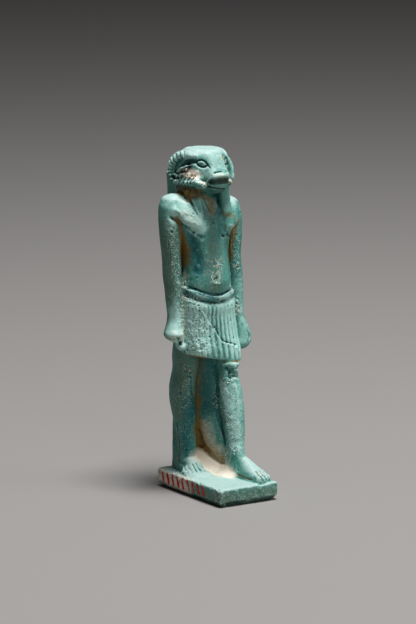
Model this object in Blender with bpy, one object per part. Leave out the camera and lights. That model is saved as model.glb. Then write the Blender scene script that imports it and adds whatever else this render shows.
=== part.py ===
"""Faience amulet of a striding ram-headed god, formed in one piece with its plinth and back pillar.

Metres, +Z up. The origin is the middle of the plinth's underside. The figure faces -Y, its left side is at +X.
"""
from math import copysign, cos, pi, sin

import bmesh
import bpy
import numpy as np
from mathutils import Vector

# Driving sizes, in metres
PLINTH_LENGTH = 0.0270
PLINTH_WIDTH = 0.0162
PLINTH_HEIGHT = 0.0043
PLINTH_EDGE = 0.00015  # rounding of the plinth's edges
FIGURE_HEIGHT = 0.0757  # plinth top to crown
PILLAR_HEIGHT = 0.0705  # plinth top to pillar top
PILLAR_FOOT_WIDTH = 0.0084
PILLAR_WAIST_WIDTH = 0.0070  # behind the thighs, where it is narrowest
PILLAR_WAIST_HEIGHT = 0.0270
PILLAR_TOP_WIDTH = 0.0094
PILLAR_STAND_OUT = 0.0026  # how far it stands out behind the figure's back
PILLAR_LEAN = 0.0014  # how far its top lies behind its foot
CORD_HOLE = 0.0012  # diameter of the hole across the pillar
CORD_HOLE_HEIGHT = 0.0560  # hole's axis above the plinth top

# The figure is carved in units of its own height; the plans below count these units
HEIGHT_IN_UNITS = 75.7
UNIT = FIGURE_HEIGHT / HEIGHT_IN_UNITS
SINK = 0.5  # units by which a part's foot is sunk in what carries it
BACK = 10.6  # the figure's back, in units behind the origin
PILLAR_ROOT = 4.0  # units by which the pillar reaches into the figure

SHOULDER_SLOPE = 0.075  # how much lower the left shoulder sits, for each unit across

RIGHT, LEFT = -1, 1  # the figure's own sides


def place(x, y, z):
    """A point of the figure's plan, in metres; z counts from the plinth's top."""
    return (x * UNIT, y * UNIT, PLINTH_HEIGHT + z * UNIT)


def smooth_rows(rows, steps):
    """Rows on a smooth curve through the given rows, `steps` from each row to the next."""
    rows = np.array(rows, float)
    start, end = rows[:-1], rows[1:]
    slope = np.gradient(rows, rows[:, 0], axis=0)
    width = (rows[1:, 0] - rows[:-1, 0])[:, None]
    made = []
    for step in range(steps):
        t = step / steps
        rise = t * t * (3 - 2 * t)
        made.append(start * (1 - rise) + end * rise
                    + width * (slope[:-1] * t * (1 - t) ** 2 - slope[1:] * t * t * (1 - t)))
    made = np.stack(made, axis=1).reshape(-1, rows.shape[1])
    return np.vstack([made, rows[-1:]])


def round_power(value, power):
    """A signed power; what is nearly nothing is nothing, so that middles lie exactly in the middle."""
    return 0.0 if abs(value) < 1e-9 else copysign(abs(value) ** power, value)


def ring(sides, half_width, low, high, squareness, ripple=None):
    """Corners (u, v) of a closed curve: +-half_width across, -low to +high upright."""
    corners = []
    for side in range(sides):
        angle = 2 * pi * side / sides
        u = half_width * round_power(cos(angle), 2 / squareness)
        v = round_power(sin(angle), 2 / squareness)
        v *= high if v > 0 else low
        scale = ripple(side, angle) if ripple else 1
        corners.append((u * scale, v * scale))
    return corners


def skin(name, rings):
    """One closed body through rings of points that have the same count."""
    mesh = bmesh.new()
    loops = [[mesh.verts.new(point) for point in points] for points in rings]
    for lower, upper in zip(loops, loops[1:]):
        for i in range(len(lower)):
            j = (i + 1) % len(lower)
            mesh.faces.new((lower[i], lower[j], upper[j], upper[i]))
    for loop in (loops[0], loops[-1]):
        middle = mesh.verts.new(sum((vertex.co for vertex in loop), Vector()) / len(loop))
        for i, corner in enumerate(loop):
            mesh.faces.new((corner, loop[(i + 1) % len(loop)], middle))
    return finish(name, mesh)


def finish(name, mesh):
    """Turns a bmesh into an object with triangles that face outwards."""
    bmesh.ops.triangulate(mesh, faces=mesh.faces[:])
    bmesh.ops.recalc_face_normals(mesh, faces=mesh.faces[:])
    data = bpy.data.meshes.new(name)
    mesh.to_mesh(data)
    mesh.free()
    made = bpy.data.objects.new(name, data)
    bpy.context.scene.collection.objects.link(made)
    return made


def upright(name, rows, sides, steps, lift=None, ripple=None, turn=(0.0, 1.0, 0.0)):
    """A form built of level rings.

    Each row is (z, x, y, half width, depth in front, depth behind, squareness).
    `lift` gives a ring point's extra height from its x, `ripple` its flutes.
    `turn` is (slant, z where it begins, z where it is full): the rings' left side swings forward.
    """
    rings = []
    slant, begins, full = turn
    for z, x, y, half, front, back, square in smooth_rows(rows, steps):
        corners = ring(sides, half, front, back, square, ripple)
        share = min(1.0, max(0.0, (begins - z) / (begins - full)))
        rings.append([place(x + u, y + v - slant * share * u, z + (lift(x + u, z) if lift else 0))
                      for u, v in corners])
    return skin(name, rings)


def lengthwise(name, rows, sides, steps):
    """A form built of rings that face forward.

    Each row is (y, x, z, half width, depth below, depth above, squareness).
    """
    rings = []
    for y, x, z, half, below, above, square in smooth_rows(rows, steps):
        rings.append([place(x + u, y, z + v) for u, v in ring(sides, half, below, above, square)])
    return skin(name, rings)


def along(name, rows, sides, steps, side=LEFT, swell=None, broad=(1.0, 0.0, 0.0)):
    """A rope-like form on a smooth path.

    Each row is (count, x, y, z, thickness, breadth), x outwards on `side`; the breadth lies as nearly
    as it can along `broad`. `swell` scales both by the count along the path.
    """
    rows = smooth_rows(rows, steps)
    path = rows[:, 1:4] * (side, 1, 1)
    ahead = np.gradient(path, axis=0)
    ahead /= np.linalg.norm(ahead, axis=1)[:, None]
    rings = []
    for (count, _, _, _, across, sideways), centre, way in zip(rows, path, ahead):
        out = np.array(broad) - way * np.dot(way, broad)
        out /= np.linalg.norm(out)
        up = np.cross(way, out)
        scale = swell(count) if swell else 1
        rings.append([place(*(centre + out * sideways * scale * cos(angle) + up * across * scale * sin(angle)))
                      for angle in (2 * pi * i / sides for i in range(sides))])
    return skin(name, rings)


def walls(name, levels):
    """A block with straight sides: level outlines of (x, y) points, one for each z."""
    return skin(name, [[place(x, y, z) for x, y in outline] for z, outline in levels])


def plinth():
    """The block underfoot, with rounded edges."""
    mesh = bmesh.new()
    bmesh.ops.create_cube(mesh, size=1)
    for vertex in mesh.verts:
        vertex.co.x *= PLINTH_WIDTH
        vertex.co.y *= PLINTH_LENGTH
        vertex.co.z = (vertex.co.z + 0.5) * PLINTH_HEIGHT
    bmesh.ops.bevel(mesh, geom=mesh.edges[:], offset=PLINTH_EDGE, segments=2, affect="EDGES")
    return finish("ram_headed_amulet", mesh)


def pillar():
    """The back pillar: narrowest behind the thighs, widest at the top, and leaning back."""
    back = BACK * UNIT + PILLAR_STAND_OUT
    depth = PILLAR_STAND_OUT + PILLAR_ROOT * UNIT
    edge = 0.1 * PILLAR_STAND_OUT
    rings = []
    for height, width in ((-SINK * UNIT, PILLAR_FOOT_WIDTH), (PILLAR_WAIST_HEIGHT, PILLAR_WAIST_WIDTH),
                          (PILLAR_HEIGHT, PILLAR_TOP_WIDTH)):
        half = width / 2
        y = back + PILLAR_LEAN * height / PILLAR_HEIGHT
        z = PLINTH_HEIGHT + height
        rings.append([(-half, y - depth, z), (half, y - depth, z), (half, y - edge, z),
                      (half - edge, y, z), (edge - half, y, z), (-half, y - edge, z)])
    return skin("pillar", rings)


def torso():
    """Chest, waist and the belly that hangs over the belt; the left shoulder is the lower one."""
    return upright("torso", [
        (36.0, 0, 6.2, 6.2, 4.6, 4.4, 2.5),
        (41.0, 0, 6.0, 6.3, 5.1, 4.5, 2.5),
        (43.2, 0, 6.0, 6.4, 5.8, 4.5, 2.4),
        (45.4, 0, 6.0, 6.2, 6.0, 4.5, 2.3),
        (48.0, 0, 6.0, 5.9, 5.3, 4.5, 2.3),
        (50.6, 0, 6.0, 5.8, 4.8, 4.5, 2.4),
        (54.0, 0, 6.2, 6.2, 4.7, 4.5, 2.5),
        (58.4, 0, 6.4, 7.3, 4.9, 4.3, 2.6),
        (61.0, 0, 6.6, 7.9, 4.6, 4.1, 2.6),
        (63.0, 0, 6.9, 8.0, 3.9, 3.8, 2.5),
        (64.6, 0, 7.4, 7.2, 2.7, 3.0, 2.4),
        (65.3, 0, 7.6, 5.6, 1.7, 2.4, 2.2)], sides=24, steps=1, lift=shoulder_drop)


def shoulder_drop(x, z):
    """The chest tips to the left, more and more from the waist up to the shoulders."""
    return -SHOULDER_SLOPE * x * min(1.0, max(0.0, (z - 50.0) / 12.0))


def breast(side):
    """The chest muscle: a broad fold from the armpit that ends in the nipple."""
    drop = -0.4 * side
    return along("breast", [
        (0, 6.9, 6.0, 63.2 + drop, 1.6, 1.4),
        (1, 6.2, 4.6, 61.8 + drop, 1.9, 2.2),
        (2, 5.1, 3.3, 60.2 + drop, 1.7, 2.1),
        (3, 4.0, 2.3, 58.4 + drop, 1.1, 1.2),
        (4, 3.6, 1.8, 57.3, 0.4, 0.5)], sides=8, steps=1, side=side, broad=(0.0, 0.3, 1.0))


def right_arm():
    return upright("right_arm", [
        (30.7, -8.2, 5.2, 0.6, 1.1, 1.0, 2.2),
        (31.2, -8.3, 5.2, 1.2, 1.8, 1.7, 2.3),
        (33.0, -8.6, 5.4, 1.85, 2.4, 2.3, 2.4),
        (35.0, -8.5, 5.5, 1.8, 2.3, 2.2, 2.3),
        (37.0, -8.2, 5.6, 1.55, 2.0, 2.0, 2.2),
        (41.0, -8.2, 5.9, 1.6, 2.2, 2.2, 2.2),
        (47.0, -8.2, 6.5, 1.9, 2.6, 2.6, 2.2),
        (51.0, -8.2, 6.8, 1.95, 2.6, 2.7, 2.2),
        (56.5, -8.3, 7.1, 2.2, 2.8, 2.9, 2.2),
        (61.0, -8.2, 7.4, 2.4, 3.1, 3.0, 2.2),
        (63.6, -7.9, 7.5, 2.3, 2.8, 2.7, 2.1),
        (65.1, -7.5, 7.5, 1.6, 1.9, 1.9, 2.0),
        (65.5, -7.3, 7.5, 0.8, 0.9, 0.9, 2.0)], sides=12, steps=1)


def left_arm():
    return upright("left_arm", [
        (28.3, 8.8, 4.0, 0.9, 1.2, 1.2, 2.2),
        (28.8, 8.9, 4.1, 1.6, 1.9, 1.9, 2.3),
        (31.5, 9.3, 4.2, 2.2, 2.3, 2.3, 2.4),
        (33.8, 8.9, 4.5, 1.9, 2.2, 2.2, 2.3),
        (36.0, 8.5, 4.9, 1.65, 2.1, 2.1, 2.2),
        (40.0, 8.5, 5.6, 1.7, 2.3, 2.3, 2.2),
        (44.5, 8.55, 6.2, 1.9, 2.5, 2.6, 2.2),
        (50.0, 8.25, 6.7, 1.95, 2.6, 2.7, 2.2),
        (55.0, 8.4, 7.0, 2.2, 2.8, 2.9, 2.2),
        (59.0, 8.3, 7.2, 2.35, 3.0, 3.0, 2.2),
        (61.6, 8.0, 7.4, 2.3, 2.8, 2.8, 2.1),
        (63.4, 7.5, 7.5, 1.7, 2.0, 2.0, 2.0),
        (63.9, 7.3, 7.5, 0.8, 0.9, 0.9, 2.0)], sides=12, steps=1)


def right_fist_end():
    """The knob that shows under the closed right hand."""
    return along("fist_end", [
        (0, 7.4, 5.4, 31.8, 0.8, 0.8), (1, 7.3, 4.2, 31.1, 1.0, 1.0), (2, 7.2, 3.2, 30.6, 0.9, 0.9),
        (3, 7.1, 2.7, 30.3, 0.4, 0.4)], sides=8, steps=1, side=RIGHT)


def arm_web(side):
    """The wall left between an arm and the body, set well back."""
    low = [(side * x, y) for x, y in ((4.5, 6.4), (8.3, 6.4), (8.3, 7.4), (4.5, 8.0))]
    high = [(side * x, y) for x, y in ((4.5, 7.6), (8.3, 7.6), (8.3, 9.6), (4.5, 9.8))]
    return walls("arm_web", [(31.5, low), (44.0, high), (60.5, high)])


# Kilt and belt
PLEAT_COUNT = 28
PLEAT_DEPTH = 0.022  # share of the kilt's half width
PLEATS_REACH = 0.35  # how far round the sides the pleats go: 0 is half way, 1 is all round
HEM_SLOPE = -0.17  # the hem drops towards the left leg
KILT_TURN = (0.16, 40.0, 27.0)  # the cloth's left side swings forward, from the hips down to the hem


def pleats(side, angle):
    """Every other corner stands out, fully in front and not at all at the back."""
    front = max(0.0, PLEATS_REACH - sin(angle))
    return 1 + PLEAT_DEPTH * min(1.0, front) * (1 if side % 2 else -1)


def hem_lift(x, z):
    return HEM_SLOPE * x * max(0.0, (36.0 - z) / 9.0)


def kilt():
    """The cloth stands out to the front over the advanced left leg."""
    return upright("kilt", [
        (27.3, 0.6, 4.6, 6.7, 5.1, 4.2, 3.3),
        (28.6, 0.5, 4.7, 6.9, 5.2, 4.3, 3.3),
        (32.5, 0.2, 5.2, 7.0, 4.9, 4.5, 3.2),
        (37.0, 0, 5.6, 6.9, 4.9, 4.4, 3.0),
        (40.5, 0, 5.8, 6.6, 4.8, 4.5, 2.7),
        (41.6, 0, 5.9, 5.5, 4.0, 4.0, 2.6)],
        sides=2 * PLEAT_COUNT, steps=1, lift=hem_lift, ripple=pleats, turn=KILT_TURN)


def belt_dip(x, z):
    """The belt hangs low in front and climbs more on the right hip."""
    return (0.056 if x < 0 else 0.022) * x * x


def belt():
    return upright("belt", [
        (40.5, 0, 5.9, 6.1, 4.9, 4.2, 2.6),
        (40.9, 0, 5.9, 6.7, 5.5, 4.5, 2.6),
        (41.9, 0, 5.9, 6.7, 5.5, 4.5, 2.6),
        (42.3, 0, 5.9, 6.1, 4.9, 4.2, 2.6)], sides=24, steps=1, lift=belt_dip)


def right_leg():
    return upright("right_leg", [
        (-SINK, -3.5, 7.4, 2.2, 4.2, 3.2, 2.2),
        (1.6, -3.5, 7.4, 2.1, 3.6, 3.0, 2.2),
        (4.0, -3.4, 7.6, 1.95, 2.7, 2.7, 2.2),
        (7.0, -3.4, 7.6, 2.0, 2.5, 2.8, 2.2),
        (12.0, -3.6, 8.1, 2.5, 3.0, 3.3, 2.2),
        (17.0, -3.9, 8.6, 2.9, 3.4, 3.6, 2.2),
        (20.5, -3.9, 8.5, 2.9, 3.4, 3.6, 2.2),
        (24.0, -3.6, 8.0, 2.75, 3.3, 3.4, 2.3),
        (27.5, -3.6, 7.6, 3.0, 3.6, 3.6, 2.4),
        (31.0, -3.4, 7.2, 3.0, 3.7, 3.6, 2.4)], sides=14, steps=1)


def left_leg():
    return upright("left_leg", [
        (-SINK, 3.5, -1.9, 2.1, 5.2, 2.7, 2.2),
        (1.6, 3.5, -1.9, 2.1, 5.0, 2.7, 2.2),
        (3.4, 3.5, -1.9, 2.0, 4.1, 2.7, 2.2),
        (5.4, 3.5, -2.0, 1.9, 3.1, 2.8, 2.2),
        (7.5, 3.6, -2.0, 1.9, 2.6, 3.0, 2.2),
        (12.0, 3.8, -1.2, 2.2, 2.9, 3.4, 2.2),
        (16.5, 3.9, -0.2, 2.4, 3.1, 3.8, 2.2),
        (20.0, 3.9, 0.4, 2.35, 2.9, 3.8, 2.2),
        (23.5, 3.7, 1.2, 2.15, 2.5, 3.6, 2.2),
        (27.0, 3.6, 2.0, 2.4, 2.9, 4.0, 2.2),
        (31.0, 3.4, 3.0, 2.9, 3.2, 4.4, 2.3)], sides=14, steps=1)


def kneecap():
    """The left knee's lumps: a ridge close under the hem and a drop below it."""
    ridge = along("knee_ridge", [
        (0, 2.0, 0.4, 25.3, 0.2, 0.2), (1, 3.1, -0.9, 25.5, 0.45, 0.5), (2, 4.5, -1.2, 25.6, 0.45, 0.5),
        (3, 5.6, -0.2, 25.5, 0.2, 0.2)], sides=8, steps=1, broad=(0.0, 0.0, 1.0))
    drop = along("knee_drop", [
        (0, 4.3, -0.8, 25.2, 0.3, 0.3), (1, 4.3, -1.1, 24.5, 0.5, 0.7), (2, 4.2, -0.9, 23.7, 0.4, 0.5),
        (3, 4.2, -1.1, 22.9, 0.5, 0.7), (4, 4.2, -0.6, 22.0, 0.2, 0.3)], sides=8, steps=1)
    return [ridge, drop]


def foot(side, x, heel, toe, splay):
    """The foot's back and its five toes; `splay` is how far the toes turn outwards."""
    length = heel - toe
    body = lengthwise("foot", [
        (toe + 0.12 * length, x + side * splay, 0.2, 1.95, 0.7, 1.2, 2.4),
        (toe + 0.22 * length, x + side * splay * 0.9, 0.2, 2.3, 0.7, 2.3, 2.4),
        (toe + 0.36 * length, x + side * splay * 0.7, 0.2, 2.4, 0.7, 3.3, 2.2),
        (toe + 0.52 * length, x + side * splay * 0.5, 0.2, 2.3, 0.7, 4.3, 2.1),
        (toe + 0.70 * length, x + side * splay * 0.3, 0.2, 2.0, 0.7, 5.0, 2.0),
        (heel, x, 0.2, 1.3, 0.6, 2.6, 2.2)], sides=12, steps=1)
    toes = []
    for count in range(5):
        across = x + side * (splay * 1.15 + (count - 1.8) * 0.92)
        tip = toe + (0.0, 0.05, 0.4, 0.9, 1.6)[count]
        thick = 0.60 if count == 0 else 0.46
        root = toe + 0.34 * length
        toes.append(lengthwise("toe", [
            (tip, across, 0.35, 0.25 * thick, 0.3, 0.25 * thick, 2),
            (tip + 0.35, across, 0.3, thick, 0.6, thick + 0.25, 2),
            (tip + 1.5, across, 0.3, thick * 0.95, 0.6, thick + 0.6, 2),
            (root, across - side * 0.2, 0.3, thick * 0.9, 0.6, 1.9, 2)], sides=7, steps=1))
    return [body] + toes


def leg_webs():
    """The slanting wall left between the legs: a raised sheet whose hanging edge curves down to the
    left ankle, a wall set back behind it, and the slope at its foot."""
    def sheet(inner, ankle):
        """Level outline: from the right leg's inner front corner to the left leg's inner back."""
        return [(inner[0], 10.0), inner, ankle, (3.6, ankle[1] + 0.5), (3.6, 10.0)]

    raised = [(1.9, sheet((1.9, 0.8), (2.6, -0.7))), (2.8, sheet((1.2, 1.8), (2.4, -1.1))),
              (4.6, sheet((0.4, 3.2), (2.3, -0.9))), (7.0, sheet((-0.5, 4.9), (2.0, -0.1))),
              (10.5, sheet((-1.3, 6.6), (1.8, 1.2))), (14.0, sheet((-1.6, 7.0), (1.7, 2.2))),
              (20.0, sheet((-1.6, 6.6), (1.6, 2.9))), (31.0, sheet((-1.6, 5.8), (1.5, 2.4)))]
    behind = [(-SINK, sheet((-1.2, 8.2), (3.2, 1.2))), (16.0, sheet((-1.2, 8.2), (3.2, 3.2)))]
    slope = [(-SINK, sheet((-2.6, 3.6), (2.4, -2.2))), (0.3, sheet((-2.6, 4.2), (2.4, -1.8))),
             (1.3, sheet((-2.4, 5.4), (2.4, -0.6))), (3.0, sheet((-2.2, 6.6), (2.6, 0.6))),
             (5.5, sheet((-2.0, 7.6), (3.0, 1.6)))]
    return [walls("web", raised), walls("web_behind", behind), walls("web_slope", slope)]


# Head
def wig():
    """Skull and wig as one mass that runs back into the pillar."""
    return upright("wig", [
        (62.5, 0, 8.2, 4.2, 3.2, 3.2, 2.6),
        (65.0, 0, 8.4, 4.6, 3.9, 4.2, 2.8),
        (66.1, 0, 7.8, 5.2, 5.4, 5.0, 2.9),
        (69.0, 0, 7.6, 5.1, 4.6, 5.5, 2.9),
        (72.0, 0, 7.2, 4.9, 4.2, 5.0, 2.8),
        (73.8, 0, 6.8, 4.7, 3.8, 4.3, 2.7),
        (75.0, 0, 6.6, 4.3, 3.4, 3.6, 2.6),
        (75.7, 0, 6.4, 3.4, 3.0, 2.6, 2.6)], sides=20, steps=1)


def face():
    """Brow, cheeks and the flat broad muzzle."""
    return lengthwise("face", [
        (-1.8, 0, 69.8, 1.8, 0.9, 0.8, 3.0),
        (-1.5, 0, 69.7, 2.4, 1.9, 1.4, 3.0),
        (-0.8, 0, 69.5, 2.6, 3.1, 2.1, 2.8),
        (0.0, 0, 69.5, 2.8, 3.5, 3.9, 2.7),
        (1.0, 0, 69.7, 3.3, 3.8, 5.2, 2.7),
        (1.9, 0, 69.9, 4.0, 4.0, 5.75, 2.9),
        (2.8, 0, 70.0, 4.8, 4.2, 5.8, 3.0),
        (3.9, 0, 70.0, 5.0, 4.2, 5.8, 3.0),
        (5.0, 0, 70.0, 4.7, 4.2, 5.8, 2.9),
        (8.0, 0, 70.0, 4.5, 4.2, 5.6, 2.8)], sides=20, steps=1)


def upper_lip():
    """The ridge across the front of the muzzle."""
    return along("upper_lip", [
        (0, -2.6, -0.4, 69.5, 0.3, 0.3), (1, -2.2, -1.2, 69.9, 0.5, 0.5), (2, -1.2, -1.7, 70.2, 0.55, 0.6),
        (3, 0.0, -1.85, 70.25, 0.55, 0.6), (4, 1.2, -1.7, 70.2, 0.55, 0.6), (5, 2.2, -1.2, 69.9, 0.5, 0.5),
        (6, 2.6, -0.4, 69.5, 0.3, 0.3)], sides=8, steps=1, broad=(0.0, 0.0, 1.0))


RIB_COUNT = 13
HORN_ROWS = 10


def horn_ribs(count):
    """Rings around the horn, none on its worn tip."""
    if count > HORN_ROWS - 1:
        return 1
    return 1.1 if (count / HORN_ROWS * 2 * RIB_COUNT) % 2 < 1 else 0.9


def horn(side):
    """The horn curls back over the ear and forward again to the corner of the mouth."""
    return along("horn", [
        (0, 3.7, 3.0, 74.1, 0.8, 0.7),
        (1, 4.2, 5.4, 74.5, 0.9, 0.9),
        (2, 4.6, 8.2, 74.1, 0.95, 0.9),
        (3, 4.9, 10.3, 72.9, 1.05, 0.9),
        (4, 5.1, 11.2, 71.2, 1.15, 0.9),
        (5, 5.1, 10.8, 69.4, 1.3, 0.9),
        (6, 5.1, 9.0, 68.4, 1.5, 0.9),
        (7, 5.1, 6.4, 68.2, 1.6, 0.9),
        (8, 5.0, 3.6, 68.2, 1.45, 0.85),
        (9, 4.4, 1.2, 68.2, 1.05, 0.8),
        (HORN_ROWS, 3.6, -0.5, 68.2, 0.45, 0.5)], sides=8, steps=3, side=side, swell=horn_ribs)


def ear(side):
    """Two lips of the ear with the slit between them, pointing back inside the horn's curl."""
    lips = [along("ear_lip", [
        (0, 5.0, 3.6, first, 0.2, 0.3), (1, 5.5, 4.8, second, 0.34, 0.4), (2, 5.7, 6.6, third, 0.34, 0.4),
        (3, 5.4, 8.6, last, 0.2, 0.2)], sides=6, steps=1, side=side)
        for first, second, third, last in ((72.9, 72.4, 71.5, 70.4), (71.6, 71.2, 70.6, 69.9))]
    root = along("ear_root", [
        (0, 4.0, 1.9, 71.5, 0.8, 0.7), (1, 4.9, 3.3, 71.3, 1.7, 0.85), (2, 5.1, 5.0, 71.1, 1.1, 0.65),
        (3, 5.1, 6.8, 70.8, 0.7, 0.55), (4, 4.9, 8.6, 70.2, 0.2, 0.3)], sides=8, steps=1, side=side)
    return lips + [root]


def eye(side):
    """The ball of the eye and the lids around it."""
    ball = along("eyeball", [
        (0, 2.75, 0.15, 72.8, 0.1, 0.3), (1, 3.1, 0.6, 73.0, 0.5, 0.42), (2, 3.45, 1.3, 73.2, 0.6, 0.45),
        (3, 3.8, 2.1, 73.2, 0.1, 0.3)], sides=8, steps=2, side=side)
    lids = [along("lid", [
        (0, 2.6, -0.15, 72.6 + 0.05 * height, 0.14, 0.3), (1, 3.05, 0.45, 72.95 + 0.75 * height, 0.2, 0.32),
        (2, 3.55, 1.4, 73.15 + 0.8 * height, 0.2, 0.32), (3, 4.05, 2.6, 73.2 + 0.05 * height, 0.14, 0.3)],
        sides=6, steps=1, side=side) for height in (1, -1)]
    return [ball] + lids


def lappet(side):
    """A tail of the wig, on the chest."""
    return upright("lappet", [
        (59.9, side * 3.6, 2.6, 0.9, 1.0, 1.2, 3.0),
        (60.4, side * 3.7, 2.7, 1.2, 1.4, 1.4, 3.0),
        (63.0, side * 3.9, 3.3, 1.35, 1.5, 2.0, 3.0),
        (66.0, side * 4.1, 4.1, 1.6, 1.5, 2.6, 3.0),
        (67.5, side * 4.1, 4.6, 1.6, 1.5, 2.6, 3.0)], sides=12, steps=1)


def mouth_cut():
    """The slit of the mouth, round the front of the muzzle."""
    return lengthwise("mouth_cut", [
        (-3.4, 0, 68.4, 2.9, 0.4, 0.4, 3.0),
        (-1.1, 0, 68.4, 2.7, 0.3, 0.3, 3.0),
        (-0.8, 0, 68.4, 2.3, 0.12, 0.12, 3.0)], sides=12, steps=1)


def navel_cut():
    return lengthwise("navel_cut", [
        (-1.2, 0, 46.4, 0.8, 0.8, 0.8, 2.0),
        (0.9, 0, 46.3, 0.3, 0.3, 0.3, 2.0)], sides=10, steps=1)


def cord_hole():
    """The hole that the cord went through, from side to side of the pillar."""
    share = CORD_HOLE_HEIGHT / PILLAR_HEIGHT
    y = BACK * UNIT + PILLAR_STAND_OUT * 0.5 + PILLAR_LEAN * share
    reach = PILLAR_TOP_WIDTH + PILLAR_FOOT_WIDTH
    rings = []
    for x in (-reach, reach):
        rings.append([(x, y + CORD_HOLE / 2 * cos(2 * pi * i / 12),
                       PLINTH_HEIGHT + CORD_HOLE_HEIGHT + CORD_HOLE / 2 * sin(2 * pi * i / 12))
                      for i in range(12)])
    return skin("cord_hole", rings)


def glaze():
    material = bpy.data.materials.new("faience")
    material.use_nodes = True
    shader = material.node_tree.nodes["Principled BSDF"]
    shader.inputs["Base Color"].default_value = (0.30, 0.58, 0.55, 1)
    shader.inputs["Roughness"].default_value = 0.45
    shader.inputs["Metallic"].default_value = 0
    return material


def carve(body, name, pieces, operation):
    """Adds the pieces to the body, or takes them away, and keeps them as guides only."""
    group = bpy.data.collections.new(name)
    bpy.context.scene.collection.children.link(group)
    for piece in pieces:
        group.objects.link(piece)
        bpy.context.scene.collection.objects.unlink(piece)
        piece.hide_render = True
        piece.display_type = "WIRE"
    step = body.modifiers.new(name, "BOOLEAN")
    step.operation = operation
    step.solver = "EXACT"
    step.operand_type = "COLLECTION"
    step.collection = group
    step.use_self = operation == "UNION"


def main():
    for old in list(bpy.data.objects):
        bpy.data.objects.remove(old)
    body = plinth()
    body.data.materials.append(glaze())
    added = [pillar(), torso(), right_arm(), right_fist_end(), left_arm(), kilt(), belt(), right_leg(), left_leg()]
    added += kneecap() + leg_webs()
    added += foot(RIGHT, -3.5, 11.2, 0.6, 0.3) + foot(LEFT, 3.8, 0.8, -13.1, 0.7)
    added += [wig(), face(), upper_lip()]
    for side in (RIGHT, LEFT):
        added += [breast(side), arm_web(side), lappet(side), horn(side)]
        added += ear(side) + eye(side)
    carve(body, "figure", added, "UNION")
    carve(body, "cuts", [mouth_cut(), navel_cut(), cord_hole()], "DIFFERENCE")


main()
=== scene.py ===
import math

import bpy
import numpy as np
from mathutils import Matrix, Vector


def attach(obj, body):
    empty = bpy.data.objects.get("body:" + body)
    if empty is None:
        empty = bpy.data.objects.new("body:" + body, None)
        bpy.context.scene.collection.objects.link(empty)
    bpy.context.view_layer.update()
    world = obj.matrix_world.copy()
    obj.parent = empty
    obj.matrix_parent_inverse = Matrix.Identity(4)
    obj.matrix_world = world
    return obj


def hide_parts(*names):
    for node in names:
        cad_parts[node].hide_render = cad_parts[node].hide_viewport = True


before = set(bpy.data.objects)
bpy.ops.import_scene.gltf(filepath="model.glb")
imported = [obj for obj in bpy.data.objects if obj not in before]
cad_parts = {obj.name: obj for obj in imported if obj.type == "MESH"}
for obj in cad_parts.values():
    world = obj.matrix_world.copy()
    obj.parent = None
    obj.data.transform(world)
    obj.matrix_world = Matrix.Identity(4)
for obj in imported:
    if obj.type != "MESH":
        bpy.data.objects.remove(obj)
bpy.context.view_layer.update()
print("frame loaded")

# Lengths are millimetres here: x to the figure's left, y to its back, z up from the plinth's top
amulet = {
    "plinthLength": 27,
    "plinthWidth": 16.2,
    "plinthHeight": 4.3,
    "plinthEase": 0.12,       # how much smaller the very top and bottom are
    "voxel": 0.14,            # size of the grid that melts the forms into one
    "blendAll": 3,            # rounds of smoothing everywhere
    "blendBody": 14,          # further rounds, but not on the head and toes
    "headFrom": (66, 67.5),   # the head begins between these heights
    "toesTo": (1.2, 2.5),     # the toes end between these
    "mostTriangles": 196000,
}
plinthSide, plinthEnd = amulet["plinthWidth"] / 2, amulet["plinthLength"] / 2
right, left = -1, 1


def eased(t):
    # 3 t ^ 2 - 2 t ^ 3
    return t * t * (3 - 2 * t)


def rise(value, low, high):
    # 0 below low, 1 above high, smooth between
    return eased(np.clip((value - low) / (high - low), 0, 1))


# Shapes: each is a grid of points, rings by sides
def smoothRows(rows, steps):
    # a cubic through the rows, each row's slope taken from its neighbours, `steps` from row to row
    rows = np.array(rows, float)
    slope = np.gradient(rows, rows[:, 0], axis=0)
    width = np.diff(rows[:, 0])[:, None, None]
    t = (np.arange(steps) / steps)[None, :, None]
    made = rows[:-1, None] * (1 - eased(t)) + rows[1:, None] * eased(t)
    made = made + width * (slope[:-1, None] * t * (1 - t) ** 2 - slope[1:, None] * t * t * (1 - t))
    return np.vstack([made.reshape(-1, rows.shape[1]), rows[-1:]])


def ovals(sides, half, low, high, square):
    # |u / half| ^ square + |v / depth| ^ square = 1, one depth below the middle and another above it
    angle = np.linspace(0, 2 * np.pi, sides, endpoint=False)[None, :]
    power = 2 / square[:, None]
    u = half[:, None] * np.sign(np.cos(angle)) * np.abs(np.cos(angle)) ** power
    v = np.sign(np.sin(angle)) * np.abs(np.sin(angle)) ** power
    return u, v * np.where(v > 0, high[:, None], low[:, None])


def upright(rows, sides=96, steps=6, lift=None, turn=(0, 1, 0)):
    # level rings; a row is (z, x, y, half width, depth in front, depth behind, squareness)
    # turn swings the left side forward, from nothing at its second number to the full at its third
    z, x, y, half, front, back, square = smoothRows(rows, steps).T
    u, v = ovals(sides, half, front, back, square)
    slant, begins, full = turn
    share = np.clip((begins - z) / (begins - full), 0, 1)[:, None]
    across = x[:, None] + u
    height = z[:, None] + (lift(across, z[:, None]) if lift else 0 * u)
    return np.stack([across, y[:, None] + v - slant * share * u, height], axis=2)


def lengthwise(rows, sides=96, steps=8):
    # rings that face forward; a row is (y, x, z, half width, depth below, depth above, squareness)
    y, x, z, half, below, above, square = smoothRows(rows, steps).T
    u, v = ovals(sides, half, below, above, square)
    return np.stack([x[:, None] + u, y[:, None] + 0 * u, z[:, None] + v], axis=2)


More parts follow.
